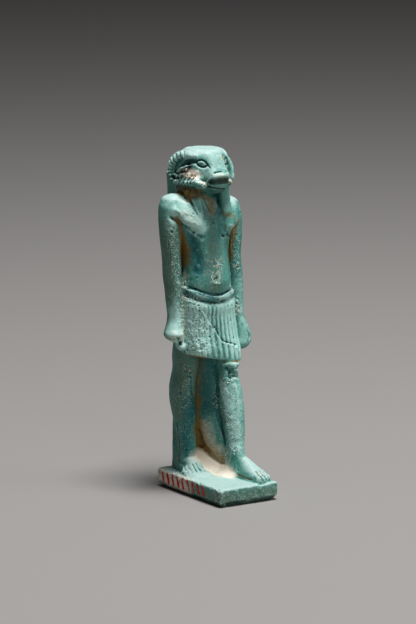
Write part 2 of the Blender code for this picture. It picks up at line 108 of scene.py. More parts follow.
def along(rows, side=left, sides=24, steps=8, broad=(1, 0, 0)):
    # a rope on a smooth path; a row is (count, x, y, z, thickness, breadth), x outwards on its side
    # each ring is thickness * sin + breadth * cos, and the breadth lies as nearly as it can along broad
    rows = smoothRows(rows, steps)
    path = rows[:, 1:4] * (side, 1, 1)
    ahead = np.gradient(path, axis=0)
    ahead /= np.linalg.norm(ahead, axis=1)[:, None]
    out = np.array(broad) - ahead * (ahead @ np.array(broad))[:, None]
    out /= np.linalg.norm(out, axis=1)[:, None]
    up = np.cross(ahead, out)
    angle = np.linspace(0, 2 * np.pi, sides, endpoint=False)[None, :, None]
    thick, breadth = (rows[:, i, None, None] for i in (4, 5))
    return path[:, None] + out[:, None] * breadth * np.cos(angle) + up[:, None] * thick * np.sin(angle)


def walls(levels):
    # straight sides between level outlines: (z, points of x and y) for each level
    return np.array([[(x, y, z) for x, y in outline] for z, outline in levels], float)


def closed(grid):
    # corners and faces of a grid whose sides wrap round and whose two ends are closed by fans
    rings, sides = grid.shape[:2]
    index = np.arange(rings * sides).reshape(rings, sides)
    ahead = np.roll(index, -1, axis=1)
    quads = np.stack([index[:-1], ahead[:-1], ahead[1:], index[1:]], axis=2).reshape(-1, 4)
    corners = np.vstack([grid.reshape(-1, 3), grid[0].mean(0), grid[-1].mean(0)])
    low, high = rings * sides, rings * sides + 1
    fans = np.vstack([np.stack([ahead[0], index[0], index[0] * 0 + low], axis=1),
                      np.stack([index[-1], ahead[-1], index[0] * 0 + high], axis=1)])
    return corners, quads.tolist() + fans.tolist()


# The figure's own forms, in the plan that the solid follows
body = {
    "torso": [
        (36, 0, 6.2, 6.2, 4.6, 4.4, 2.5), (41, 0, 6, 6.3, 5.1, 4.5, 2.5), (43.2, 0, 6, 6.4, 5.8, 4.5, 2.4),
        (45.4, 0, 6, 6.2, 6, 4.5, 2.3), (48, 0, 6, 5.9, 5.3, 4.5, 2.3), (50.6, 0, 6, 5.8, 4.8, 4.5, 2.4),
        (54, 0, 6.2, 6.2, 4.7, 4.5, 2.5), (58.4, 0, 6.4, 7.3, 4.9, 4.3, 2.6),
        (61, 0, 6.6, 7.9, 4.6, 4.1, 2.6), (63, 0, 6.9, 8, 3.9, 3.8, 2.5), (64.6, 0, 7.4, 7.2, 2.7, 3, 2.4),
        (65.3, 0, 7.6, 5.6, 1.7, 2.4, 2.2)],
    "shoulderSlope": 0.075,
    "shoulderFrom": (50, 12),       # the chest tips from this height, and wholly this much higher
    "breast": [
        (0, 6.9, 6, 63.2, 1.7, 1.5), (1, 6.2, 4.6, 61.8, 2.1, 2.5), (2, 5.1, 3.2, 60.2, 2, 2.5),
        (3, 4, 2.2, 58.4, 1.4, 1.5), (4, 3.5, 1.7, 57.2, 0.5, 0.6)],
    "breastDrop": 0.4,
    "rightArm": [
        (31.3, -8.1, 5.2, 0.6, 1.1, 1, 2.2), (31.8, -8.3, 5.2, 1.3, 1.9, 1.8, 2.3),
        (32.7, -8.6, 5.3, 1.95, 2.6, 2.3, 2.4), (34.6, -8.5, 5.4, 1.75, 2.3, 2.2, 2.3),
        (36.3, -8.2, 5.6, 1.5, 1.9, 2, 2.2), (41, -8.2, 5.9, 1.6, 2.2, 2.2, 2.2),
        (47, -8.2, 6.5, 1.9, 2.6, 2.6, 2.2), (51, -8.2, 6.8, 1.95, 2.6, 2.7, 2.2),
        (56.5, -8.3, 7.1, 2.2, 2.8, 2.9, 2.2), (61, -8.2, 7.4, 2.4, 3.1, 3, 2.2),
        (63.6, -7.9, 7.5, 2.3, 2.8, 2.7, 2.1), (65.1, -7.5, 7.5, 1.6, 1.9, 1.9, 2),
        (65.5, -7.3, 7.5, 0.8, 0.9, 0.9, 2)],
    "leftArm": [
        (28.3, 8.8, 4, 0.9, 1.2, 1.2, 2.2), (28.8, 8.9, 4.1, 1.6, 1.9, 1.9, 2.3),
        (31.5, 9.3, 4.2, 2.2, 2.3, 2.3, 2.4), (33.8, 8.9, 4.5, 1.9, 2.2, 2.2, 2.3),
        (36, 8.5, 4.9, 1.65, 2.1, 2.1, 2.2), (40, 8.5, 5.6, 1.7, 2.3, 2.3, 2.2),
        (44.5, 8.55, 6.2, 1.9, 2.5, 2.6, 2.2), (50, 8.25, 6.7, 1.95, 2.6, 2.7, 2.2),
        (55, 8.4, 7, 2.2, 2.8, 2.9, 2.2), (59, 8.3, 7.2, 2.35, 3, 3, 2.2),
        (61.6, 8, 7.4, 2.3, 2.8, 2.8, 2.1), (63.4, 7.5, 7.5, 1.7, 2, 2, 2),
        (63.9, 7.3, 7.5, 0.8, 0.9, 0.9, 2)],
    "rightKnob": [
        (0, 7.5, 5.4, 31.4, 0.8, 0.8), (1, 7.5, 4.2, 30.7, 1, 1), (2, 7.4, 3.2, 30.2, 0.9, 0.9),
        (3, 7.3, 2.7, 29.9, 0.4, 0.4)],
    # between the right arm and the kilt
    "armSeam": [
        (0, 6.6, 5.4, 46.3, 0.4, 0.4), (1, 6.8, 4.6, 43, 0.6, 0.6), (2, 7, 4.2, 38, 0.6, 0.6),
        (3, 7.2, 3.8, 33.5, 0.6, 0.6), (4, 7.3, 3.4, 31, 0.3, 0.3)],
    "armWeb": [
        (31.5, ((4.5, 6.4), (8.3, 6.4), (8.3, 7.4), (4.5, 8))),
        (44, ((4.5, 6.3), (8.3, 6.6), (8.3, 9.6), (4.5, 9.8))),
        (60.5, ((4.5, 6.3), (8.3, 6.6), (8.3, 9.6), (4.5, 9.8)))],
    "pillar": [(-0.5, 4.2, 13.2), (27, 3.5, 13.74), (69.6, 4.7, 14.6)],  # (z, half width, back)
    "pillarDepth": 6.6,
    "pillarEdge": 0.25,
    "cordHole": (13, 56, 0.6),      # back, up, and how wide from its middle
}


def shoulderDrop(x, z):
    # the chest tips to the left, more and more from the waist up: -slope * x
    begins, over = body["shoulderFrom"]
    return -body["shoulderSlope"] * x * np.clip((z - begins) / over, 0, 1)


def pillarGrid():
    # an oblong at each level, with its two back corners cut
    levels = []
    for z, half, back in body["pillar"]:
        front, edge = back - body["pillarDepth"], body["pillarEdge"]
        levels.append((z, [(-half, front), (half, front), (half, back - edge), (half - edge, back),
                           (edge - half, back), (-half, back - edge)]))
    return walls(levels)


def bodyForms():
    # trunk, arms, the right fist's knob and arm's seam, then on each side a slanted breast and the arm's web
    made = [upright(body["torso"], lift=shoulderDrop), upright(body["rightArm"]), upright(body["leftArm"]),
            along(body["rightKnob"], right), along(body["armSeam"], right)]
    for side in (right, left):
        drop = np.array((0, 0, 0, -body["breastDrop"] * side, 0, 0))
        made.append(along(np.array(body["breast"]) + drop, side, broad=(0, 0.3, 1)))
        made.append(walls([(z, [(side * x, y) for x, y in outline]) for z, outline in body["armWeb"]]))
    return made


cloth = {
    "kilt": [
        (27.3, 0.6, 4.6, 6.7, 5.1, 4.2, 3.3), (28.6, 0.5, 4.7, 6.9, 5.2, 4.3, 3.3),
        (32.5, 0.2, 5.2, 7, 4.9, 4.5, 3.2), (37, 0, 5.6, 6.9, 5, 4.4, 3),
        (40.5, 0, 5.8, 6.6, 5.1, 4.5, 2.7), (41.6, 0, 5.9, 5.5, 4.3, 4, 2.6)],
    "turn": (0.16, 40, 27),
    "hemSlope": -0.17,
    "hemTo": (36, 9),           # it fades out at this height, from this much lower
    "belt": [
        (40.5, 0, 5.9, 6.1, 4.9, 4.2, 2.6), (40.9, 0, 5.9, 6.7, 5.5, 4.5, 2.6),
        (41.9, 0, 5.9, 6.7, 5.5, 4.5, 2.6), (42.3, 0, 5.9, 6.1, 4.9, 4.2, 2.6)],
    "beltClimb": (0.056, 0.022),   # on the right hip and on the left
    "topClimb": (0.85, 4.5),       # the kilt's share of that, and over what height it comes in
}


def hemLift(x, z):
    # slope * x, more and more towards the hem
    ends, over = cloth["hemTo"]
    return cloth["hemSlope"] * x * np.clip((ends - z) / over, 0, None)


def beltLift(x, z):
    # climb * x ^ 2, so that the belt dips in front
    return np.where(x < 0, *cloth["beltClimb"]) * x * x


def kiltLift(x, z):
    # the hem's slope below, the belt's climb at the top
    share, over = cloth["topClimb"]
    return hemLift(x, z) + share * beltLift(x, z) * np.clip((z - cloth["hemTo"][0]) / over, 0, 1)


def clothForms():
    # the kilt and the belt over it
    return [upright(cloth["kilt"], sides=160, lift=kiltLift, turn=cloth["turn"]),
            upright(cloth["belt"], lift=beltLift)]


legs = {
    "rightLeg": [
        (-0.5, -3.5, 7.4, 2.2, 4.2, 3.2, 2.2), (1.6, -3.5, 7.4, 2.1, 3.6, 3, 2.2),
        (4, -3.4, 7.6, 1.95, 2.7, 2.7, 2.2), (7, -3.4, 7.6, 2, 2.5, 2.8, 2.2),
        (12, -3.6, 8.1, 2.5, 3, 3.3, 2.2), (17, -3.9, 8.6, 2.9, 3.4, 3.6, 2.2),
        (20.5, -3.9, 8.5, 2.9, 3.4, 3.6, 2.2), (24, -3.6, 8, 2.75, 3.3, 3.4, 2.3),
        (27.5, -3.6, 7.6, 3, 3.6, 3.6, 2.4), (31, -3.4, 7.2, 3, 3.7, 3.6, 2.4)],
    "leftLeg": [
        (-0.5, 3.5, -1.9, 2.1, 5.2, 2.7, 2.2), (1.6, 3.5, -1.9, 2.1, 5, 2.7, 2.2),
        (3.4, 3.5, -1.9, 2, 4.1, 2.7, 2.2), (5.4, 3.5, -2, 1.9, 3.1, 2.8, 2.2),
        (7.5, 3.6, -2, 1.9, 2.6, 3, 2.2), (12, 3.8, -1.2, 2.2, 2.9, 3.4, 2.2),
        (16.5, 3.9, -0.2, 2.4, 3.1, 3.8, 2.2), (20, 3.9, 0.4, 2.35, 2.9, 3.8, 2.2),
        (23.5, 3.7, 1.2, 2.15, 2.5, 3.6, 2.2), (27, 3.6, 2, 2.4, 2.9, 4, 2.2),
        (31, 3.4, 3, 2.9, 3.2, 4.4, 2.3)],
    "kneeRidge": [
        (0, 2, 0.4, 25.3, 0.2, 0.2), (1, 3.1, -0.9, 25.5, 0.45, 0.5), (2, 4.5, -1.2, 25.6, 0.45, 0.5),
        (3, 5.6, -0.2, 25.5, 0.2, 0.2)],
    "kneeDrop": [
        (0, 4.3, -0.8, 25.2, 0.3, 0.3), (1, 4.3, -1.1, 24.5, 0.5, 0.7), (2, 4.2, -0.9, 23.7, 0.4, 0.5),
        (3, 4.2, -1.1, 22.9, 0.5, 0.7), (4, 4.2, -0.6, 22, 0.2, 0.3)],
    # the web's outline at each height: the right leg's inner front corner, then the left leg's inner back
    "webSheet": [
        (1.9, (1.9, 0.8), (2.6, -0.7)), (2.8, (1.2, 1.8), (2.4, -1.1)), (4.6, (0.4, 3.2), (2.3, -0.9)),
        (7, (-0.5, 4.9), (2, -0.1)), (10.5, (-1.3, 6.6), (1.8, 1.2)), (14, (-1.6, 7), (1.7, 2.2)),
        (20, (-1.6, 6.6), (1.6, 2.9)), (31, (-1.6, 5.8), (1.5, 2.4))],
    "webBehind": [(-0.5, (-1.2, 8.2), (3.2, 1.2)), (16, (-1.2, 8.2), (3.2, 3.2))],
    "webSlope": [
        (-0.5, (-2.6, 3.2), (2.6, -5)), (0.3, (-2.6, 4), (2.6, -4)), (1.3, (-2.4, 5.2), (2.6, -1.8)),
        (3, (-2.2, 6.6), (2.6, 0.4)), (5.5, (-2, 7.6), (3, 1.6))],
    "webBack": 10,       # how far back and how far left the web is buried
    "webSide": 3.6,
    # the slope climbs to the left foot's inner side: (z, how far out it stands)
    "footFill": [(-0.5, -1), (0, -0.6), (0.4, 0), (0.9, 0.6), (1.5, 1.05), (2.2, 1.35)],
    # the plinth swells under the right foot, so that its toes end on a slope
    "mound": [
        (-0.5, -3.8, 3.2, 4.2, 5.8, 3, 2.2), (0.2, -3.8, 3.4, 3.6, 4.6, 3, 2.2),
        (0.7, -3.8, 3.6, 2.9, 3.3, 3, 2.2), (1, -3.8, 3.8, 2.2, 2, 3, 2.2)],
    # the foot from its toes up: (share of its length, share of its splay, half width, height, squareness)
    "instep": [
        (0.12, 1, 1.95, 1.2, 2.4), (0.22, 0.9, 2.3, 2.3, 2.4), (0.36, 0.7, 2.4, 3.3, 2.2),
        (0.52, 0.5, 2.3, 4.3, 2.1), (0.7, 0.3, 2, 5, 2)],
    # the five toes from the big one: (how far back the tip is, how thick it is, how far out it lies)
    "toes": [(0, 0.68, -1.3), (0.05, 0.52, -0.05), (0.4, 0.47, 0.95), (0.9, 0.45, 1.8), (1.6, 0.42, 2.4)],
    "toeShift": {right: 0.55, left: 0},
    # middle, heel, toe along y and how far the toes turn outwards
    "feet": {right: (-3.5, 11.2, 0.6, 0.3), left: (3.8, 0.8, -13.1, 0.7)},
}


def webGrid(plan):
    # a sheet between the legs at each height; its back is buried in them and in the pillar
    back, side = legs["webBack"], legs["webSide"]
    rows = smoothRows([(z, *inner, *ankle) for z, inner, ankle in plan], 6)
    return walls([(z, [(x, back), (x, y), (ax, ay), (side, ay + 0.5), (side, back)])
                  for z, x, y, ax, ay in rows])


def fillGrid():
    # an outline at each height that follows the left foot's inner side
    rows = smoothRows(legs["footFill"], 4)
    return walls([(z, [(x, 1), (x, -2.2), (x + 0.6, -4), (2, -6), (3.5, -6), (3.5, 1)])
                  for z, x in rows])


def footForms(side):
    # rings from the toes to the heel, then each toe as four rings from its tip back into the foot
    x, heel, toe, splay = legs["feet"][side]
    length = heel - toe
    rows = [(toe + share * length, x + side * splay * turned, 0.2, half, 0.7, high, square)
            for share, turned, half, high, square in legs["instep"]]
    made = [lengthwise(rows + [(heel, x, 0.2, 1.3, 0.6, 2.6, 2.2)])]
    for back, thick, out in legs["toes"]:
        across = x + side * (splay * 1.15 + out + legs["toeShift"][side])
        tip, root = toe + back, toe + 0.34 * length
        made.append(lengthwise([
            (tip, across, 0.35, 0.25 * thick, 0.3, 0.25 * thick, 2),
            (tip + 0.35, across, 0.3, thick, 0.6, thick + 0.25, 2),
            (tip + 1.5, across, 0.3, thick * 0.95, 0.6, thick + 0.6, 2),
            (root, across - side * 0.2, 0.3, thick * 0.9, 0.6, 1.9, 2)], sides=24))
    return made


def legForms():
    # both legs, the knee, what lies between them, and the feet
    return [upright(legs["rightLeg"]), upright(legs["leftLeg"]), upright(legs["mound"]),
            along(legs["kneeRidge"], broad=(0, 0, 1)), along(legs["kneeDrop"]),
            webGrid(legs["webSheet"]), webGrid(legs["webBehind"]), webGrid(legs["webSlope"]), fillGrid(),
            *footForms(right), *footForms(left)]


head = {
    "wig": [
        (62.5, 0, 8.2, 4.2, 3.2, 3.2, 2.6), (65, 0, 8.4, 4.6, 3.9, 4.2, 2.8),
        (66.1, 0, 7.8, 5.2, 5.4, 5, 2.9), (69, 0, 7.6, 5.1, 4.6, 5.5, 2.9), (72, 0, 7.2, 4.9, 4.2, 5, 2.8),
        (73.4, 0, 6.9, 4.9, 4.2, 4.5, 2.7), (74.3, 0, 6.5, 5.1, 4.4, 4.3, 3), (75, 0, 6.3, 4.8, 4, 4, 2.9),
        (75.8, 0, 6.2, 3.8, 3.4, 3.2, 2.6)],
    "face": [
        (-1.8, 0, 69.8, 1.8, 0.9, 0.8, 3), (-1.5, 0, 69.7, 2.3, 1.9, 1.6, 2.8),
        (-0.8, 0, 69.5, 2.6, 3.1, 2.85, 2.6), (0, 0, 69.5, 2.8, 3.5, 4.1, 2.6),
        (1, 0, 69.7, 3.3, 3.8, 5.2, 2.7), (1.9, 0, 69.9, 4, 4, 5.75, 2.9), (2.8, 0, 70, 4.8, 4.2, 5.8, 3),
        (3.9, 0, 70, 5, 4.2, 5.8, 3), (5, 0, 70, 4.7, 4.2, 5.8, 2.9), (8, 0, 70, 4.5, 4.2, 5.6, 2.8)],
    "upperLip": [
        (0, -2.9, 0.1, 68.4, 0.2, 0.2), (1, -2.75, -0.4, 69.3, 0.35, 0.4), (2, -1.8, -1.3, 70, 0.45, 0.6),
        (3, -0.2, -1.7, 70.25, 0.45, 0.55), (4, 1.4, -1.5, 70.1, 0.42, 0.5),
        (5, 2.4, -0.8, 69.5, 0.35, 0.4), (6, 2.5, -0.3, 68.6, 0.25, 0.25)],
    "horn": [
        (0, 3.7, 3, 74.1, 0.8, 0.7), (1, 4.2, 5.4, 74.6, 0.9, 0.9), (2, 4.6, 8.2, 74.3, 0.95, 0.9),
        (3, 4.9, 10.3, 72.9, 1.05, 0.9), (4, 5.1, 11.2, 71.2, 1.15, 0.9), (5, 5.1, 10.8, 69.4, 1.3, 0.9),
        (6, 5.1, 9, 68.4, 1.5, 0.9), (7, 5.1, 6.4, 68.2, 1.6, 0.9), (8, 5, 3.6, 68.2, 1.45, 0.85),
        (9, 4.4, 1.2, 68.2, 1.05, 0.8), (10, 3.6, -0.5, 68.2, 0.45, 0.5)],
    "leftTipIn": 0.5,       # the left horn's tip lies closer to the cheek
    # four heights along each lip, from its front
    "earLips": ((72.4, 71.9, 71.1, 70.2), (70.4, 70.2, 69.8, 69.3)),
    "earRoot": [
        (0, 3.9, 1.9, 71, 0.5, 0.3), (1, 4.5, 3.1, 70.8, 1.2, 0.4), (2, 4.9, 4.7, 70.5, 1.3, 0.5),
        (3, 5, 6.8, 70.2, 0.9, 0.5), (4, 4.9, 8.6, 69.9, 0.2, 0.3)],
    # on the left the horn's tip, cheek and temple run into one band
    "farBand": [
        (0, 2.8, 3.2, 74.8, 0.5, 0.5), (1, 3.8, 2.5, 73.8, 0.7, 0.6), (2, 4.5, 2, 72.4, 0.8, 0.6),
        (3, 4.6, 1.5, 71, 0.9, 0.6), (4, 4.4, 1.2, 69.6, 0.9, 0.6), (5, 3.7, 0.8, 68.2, 0.6, 0.5),
        (6, 2.9, 0.6, 67.4, 0.3, 0.3)],
    "smoothPlaces": [(4.2, 2.2, 70.9, 2.6), (4.6, 4.2, 70.3, 1.8), (2.4, -0.6, 71, 1.8), (3, 0.6, 69.4, 1.6)],
    "lappet": [
        (59.9, 3.6, 2.6, 0.9, 1, 1.2, 3), (60.4, 3.7, 2.7, 1.2, 1.4, 1.4, 3),
        (63, 3.9, 3.3, 1.35, 1.5, 2, 3), (66, 4.1, 4.1, 1.6, 1.5, 2.6, 3),
        (67.5, 4.1, 4.6, 1.6, 1.5, 2.6, 3)],
}


def earForms(side):
    # a thin rope for each lip, at the heights that it gives, and the ear's root
    lips = [along([(0, 5, 3.6, first, 0.15, 0.25), (1, 5.5, 4.8, second, 0.24, 0.32),
                   (2, 5.7, 6.6, third, 0.24, 0.32), (3, 5.4, 8.6, last, 0.15, 0.2)], side)
            for first, second, third, last in head["earLips"]]
    return lips + [along(head["earRoot"], side)]


def headForms():
    # wig, face, lip and band, then on each side a lappet, a horn and an ear
    made = [upright(head["wig"]), lengthwise(head["face"], steps=10),
            along(head["upperLip"], broad=(0, 0, 1)), along(head["farBand"], left)]
    for side in (right, left):
        mirrored = np.array(head["lappet"]) * (1, side, 1, 1, 1, 1, 1)
        curl = np.array(head["horn"])
        if side == left:
            curl[-3:, 1] -= head["leftTipIn"]
        made += [upright(mirrored), along(curl, side, sides=32, steps=10)]
        made += earForms(side)
    return made


def plinthGrid():
    # upright sides, |x / half| ^ 30 + |y / long| ^ 30 = 1, a little smaller at the very top and bottom
    high, ease, edge = amulet["plinthHeight"], amulet["plinthEase"], 0.15
    levels = [(-high, ease), (-high + edge, 0), (-edge, 0), (0, ease)]
    rows = [(z, 0, 0, plinthSide - less, plinthEnd - less, plinthEnd - less, 30) for z, less in levels]
    return upright(rows, sides=160, steps=1)


def placed(name, data):
    # a new object in the scene that shows this mesh, lamp or camera
    thing = bpy.data.objects.new(name, data)
    bpy.context.scene.collection.objects.link(thing)
    return thing


def joined(name, shells):
    # one object from shells, which are pairs of corners and faces
    corners, faces, count = [], [], 0
    for points, made in shells:
        corners.append(points)
        faces += [[count + i for i in face] for face in made]
        count += len(points)
    mesh = bpy.data.meshes.new(name)
    mesh.from_pydata(np.vstack(corners).tolist(), [], faces)
    return placed(name, mesh)


def settle(piece):
    # the piece's modifiers are worked out and their result kept as its mesh
    seen = bpy.context.evaluated_depsgraph_get()
    mesh = bpy.data.meshes.new_from_object(piece.evaluated_get(seen), depsgraph=seen)
    piece.modifiers.clear()
    piece.data = mesh


def melt(piece):
    # every form is melted into one skin on a fine grid
    step = piece.modifiers.new("melt", "REMESH")
    step.mode, step.voxel_size, step.adaptivity = "VOXEL", amulet["voxel"], 0
    settle(piece)


def readAll(parts, name, width, kind=np.float32):
    # one property of all of a mesh's parts as an array, a row for each
    found = np.empty(len(parts) * width, kind)
    parts.foreach_get(name, found)
    return found.reshape(-1, width)


def corners(piece):
    # every corner's place
    return readAll(piece.data.vertices, "co", 3).astype(float)


def facing(piece):
    # the way the skin faces at each corner
    return readAll(piece.data.vertex_normals, "vector", 3).astype(float)


def edgesOf(piece):
    # the two corners that each edge joins
    return readAll(piece.data.edges, "vertices", 2, np.int32)


def putCorners(piece, points):
    # moves every corner to its new place
    piece.data.vertices.foreach_set("co", points.astype(np.float32).ravel())
    piece.data.update()


def neighbourMean(values, edges):
    # each corner's mean over the corners it is joined to
    count = np.bincount(edges.ravel(), minlength=len(values))[:, None]
    total = np.stack([np.bincount(edges[:, 0], values[edges[:, 1], i], len(values))
                      + np.bincount(edges[:, 1], values[edges[:, 0], i], len(values))
                      for i in range(values.shape[1])], axis=1)
    return total / count


def soften(points, edges, rounds, strength):
    # each round moves a corner towards the mean of its neighbours, then less far back, to keep its size
    for _ in range(rounds):
        for share in (0.6, -0.45):
            points = points + strength[:, None] * (neighbourMean(points, edges) - points) * share
    return points


def piercedPillar():
    # the pillar with the cord's hole from side to side, a round bar taken out of it
    y, z, wide = body["cordHole"]
    reach = 6       # past the pillar on both sides
    angle = np.linspace(0, 2 * np.pi, 32, endpoint=False)
    bar = np.stack([np.stack([0 * angle + x, y + wide * np.cos(angle), z + wide * np.sin(angle)], axis=1)
                    for x in (-reach, reach)])
    block, bar = joined("block", [closed(pillarGrid())]), joined("bar", [closed(bar)])
    step = block.modifiers.new("pierce", "BOOLEAN")
    step.operation, step.solver, step.object = "DIFFERENCE", "EXACT", bar
    settle(block)
    shell = corners(block), [list(face.vertices) for face in block.data.polygons]
    for used in (block, bar):
        bpy.data.objects.remove(used)
    return shell


def makeAmulet():
    # all forms in one mesh, melted into one skin
    grids = [plinthGrid(), *bodyForms(), *clothForms(), *legForms(), *headForms()]
    piece = joined("amulet", [closed(grid) for grid in grids] + [piercedPillar()])
    melt(piece)
    print("melted into", len(piece.data.vertices), "corners")
    return piece


piece = makeAmulet()


# Carving: every mark is a bent line on the skin, pressed in or raised along the way the skin faces
def nearest(points, line):
    # the way to each point from its nearest place on a bent line
    best = np.full(len(points), np.inf)
    gap = np.zeros_like(points)
    for start, step in zip(line[:-1], np.diff(line, axis=0)):
        t = np.clip((points - start) @ step / (step @ step), 0, 1)
        away = points - start - t[:, None] * step
        size = (away * away).sum(1)
        closer = size < best
        best[closer], gap[closer] = size[closer], away[closer]
    return gap


def nearness(points, normals, line, width, crisp, deepest=1.6):
    # e ^ -(distance / width) ^ crisp, with the distance taken along the skin and not into it
    line = np.array(line, float).reshape(-1, 3)
    if len(line) == 1:
        line = np.vstack([line, line + 0.01])
    reach = max(2.6 * width, deepest)
    near = ((points > line.min(0) - reach) & (points < line.max(0) + reach)).all(1).nonzero()[0]
    gap = nearest(points[near], line)
    into = (gap * normals[near]).sum(1)
    flat = np.sqrt(np.maximum((gap * gap).sum(1) - into * into, 0))
    found = np.zeros(len(points))
    found[near] = np.exp(-(flat / width) ** crisp) * (1 - rise(np.abs(into), deepest * 0.6, deepest))
    return found


def hashed(cells, seed):
    # a number from 0 to 1 for each whole-numbered cell, always the same one
    mixed = cells[..., 0] * 73856093 ^ cells[..., 1] * 19349663 ^ cells[..., 2] * 83492791 ^ seed * 2654435
    mixed = (mixed ^ (mixed >> 13)) * 1274126177 & 0xFFFFFFFF
    mixed = (mixed ^ (mixed >> 16)) * 2246822519 & 0xFFFFFFFF
    return (mixed ^ (mixed >> 15)) / 0xFFFFFFFF


def noise(points, size, seed):
    # random numbers -1 to 1 on a lattice that is `size` apart, smoothly mixed in between
    cells = np.floor(points / size).astype(np.int64)
    t = eased(points / size - cells)
    total = np.zeros(len(points))
    for corner in np.ndindex(2, 2, 2):
        weight = np.prod(np.where(corner, t, 1 - t), axis=1)
        total += weight * hashed(cells + corner, seed)
    return total * 2 - 1


def bubbles(points, size, share, seed):
    # one round hole in some of the cells: 1 at its middle, 0 at its rim; share is how many cells have one
    cells = np.floor(points / size).astype(np.int64)
    found = np.zeros(len(points))
    for step in np.ndindex(3, 3, 3):
        cell = cells + np.array(step) - 1
        place = np.stack([hashed(cell, seed + i) for i in range(3)], axis=1)
        radius = size * (0.25 + 0.35 * hashed(cell, seed + 3))
        away = np.linalg.norm(points - (cell + place) * size, axis=1) / radius
        found = np.maximum(found, (1 - away) * (hashed(cell, seed + 4) < share))
    return found


def softenAmulet():
    # the head and toes stay finer than the body, except at the head's smooth places
    points = corners(piece)
    fine = np.maximum(rise(points[:, 2], *amulet["headFrom"]), 1 - rise(points[:, 2], *amulet["toesTo"]))
    for x, y, z, reach in head["smoothPlaces"]:
        away = np.linalg.norm(np.abs(points * (1, 0, 0)) + points * (0, 1, 1) - (x, y, z), axis=1)
        fine *= rise(away, 0.6 * reach, reach)
    points = soften(points, edges, amulet["blendAll"], np.ones(len(points)))
    putCorners(piece, soften(points, edges, amulet["blendBody"], 1 - fine))


edges = edgesOf(piece)
softenAmulet()
print("softened")

# how strongly each finish and the painted shade show at each corner; the glaze reads them as attributes
finishes = ("deep", "paintedShade", "soil", "pale", "worn", "bare", "grey", "grit", "tick")
tint = {name: np.zeros(len(piece.data.vertices)) for name in finishes}


def carve(marks, both=False):
    # a mark is (height, width, crispness, finish and its strength, line); both puts it on each side
    points, normals = corners(piece), facing(piece)
    lift = np.zeros(len(points))
    uneven = 0.85 + 0.55 * noise(points, 1, 21)      # no line is equally deep all along
    for height, width, crisp, name, strength, line in marks:
        for side in (left, right)[:2 if both else 1]:
            near = nearness(points, normals, np.array(line, float) * (side, 1, 1), width, crisp)
            lift += height * near
            if name:
                tint[name] += strength * near
    putCorners(piece, points + normals * (lift * uneven)[:, None])


# The head's carving
horn = {
    "rib": (-0.34, 0.21),       # height, width
    "lobe": (0.16, 0.3),        # between two ribs
    "slot": (-0.55, 0.22),
    "underRib": (-0.15, 0.2),
    "ribs": [
        ((-5, 6.6, 75.3), (-4.9, 6, 74.3)), ((-5.2, 7.9, 74.9), (-4.9, 7.4, 73.5)),
        ((-5.4, 9.1, 74.2), (-4.8, 8.5, 72.9)), ((-5.5, 10.3, 73.5), (-4.9, 9.5, 72.4)),
        ((-5.6, 11.1, 72.7), (-4.9, 10.1, 71.7)), ((-5.7, 11.7, 71.8), (-4.9, 10.4, 71.1)),
        ((-5.8, 12, 70.9), (-5, 10.4, 70.4)), ((-5.9, 12, 69.8), (-5.3, 10, 69.8)),
        ((-5.9, 11.7, 68.8), (-5.8, 9.2, 69.3)), ((-5.7, 10.9, 67.9), (-5.8, 8.7, 68.7))],
    "slots": [
        ((-5.8, 7.9, 69.4), (-6.1, 8, 68.1)), ((-5.7, 5.7, 69.8), (-6.2, 6.5, 68.1)),
        ((-5.4, 4.2, 70), (-6.1, 5, 68.2)), ((-5, 3.1, 70.1), (-5.7, 3.7, 68.4)),
        ((-4.6, 2.4, 70), (-5.4, 2.7, 68.5))],
    "underRibs": [8.6, 7.2, 5.9, 4.6, 3.4],     # how far back each begins
}
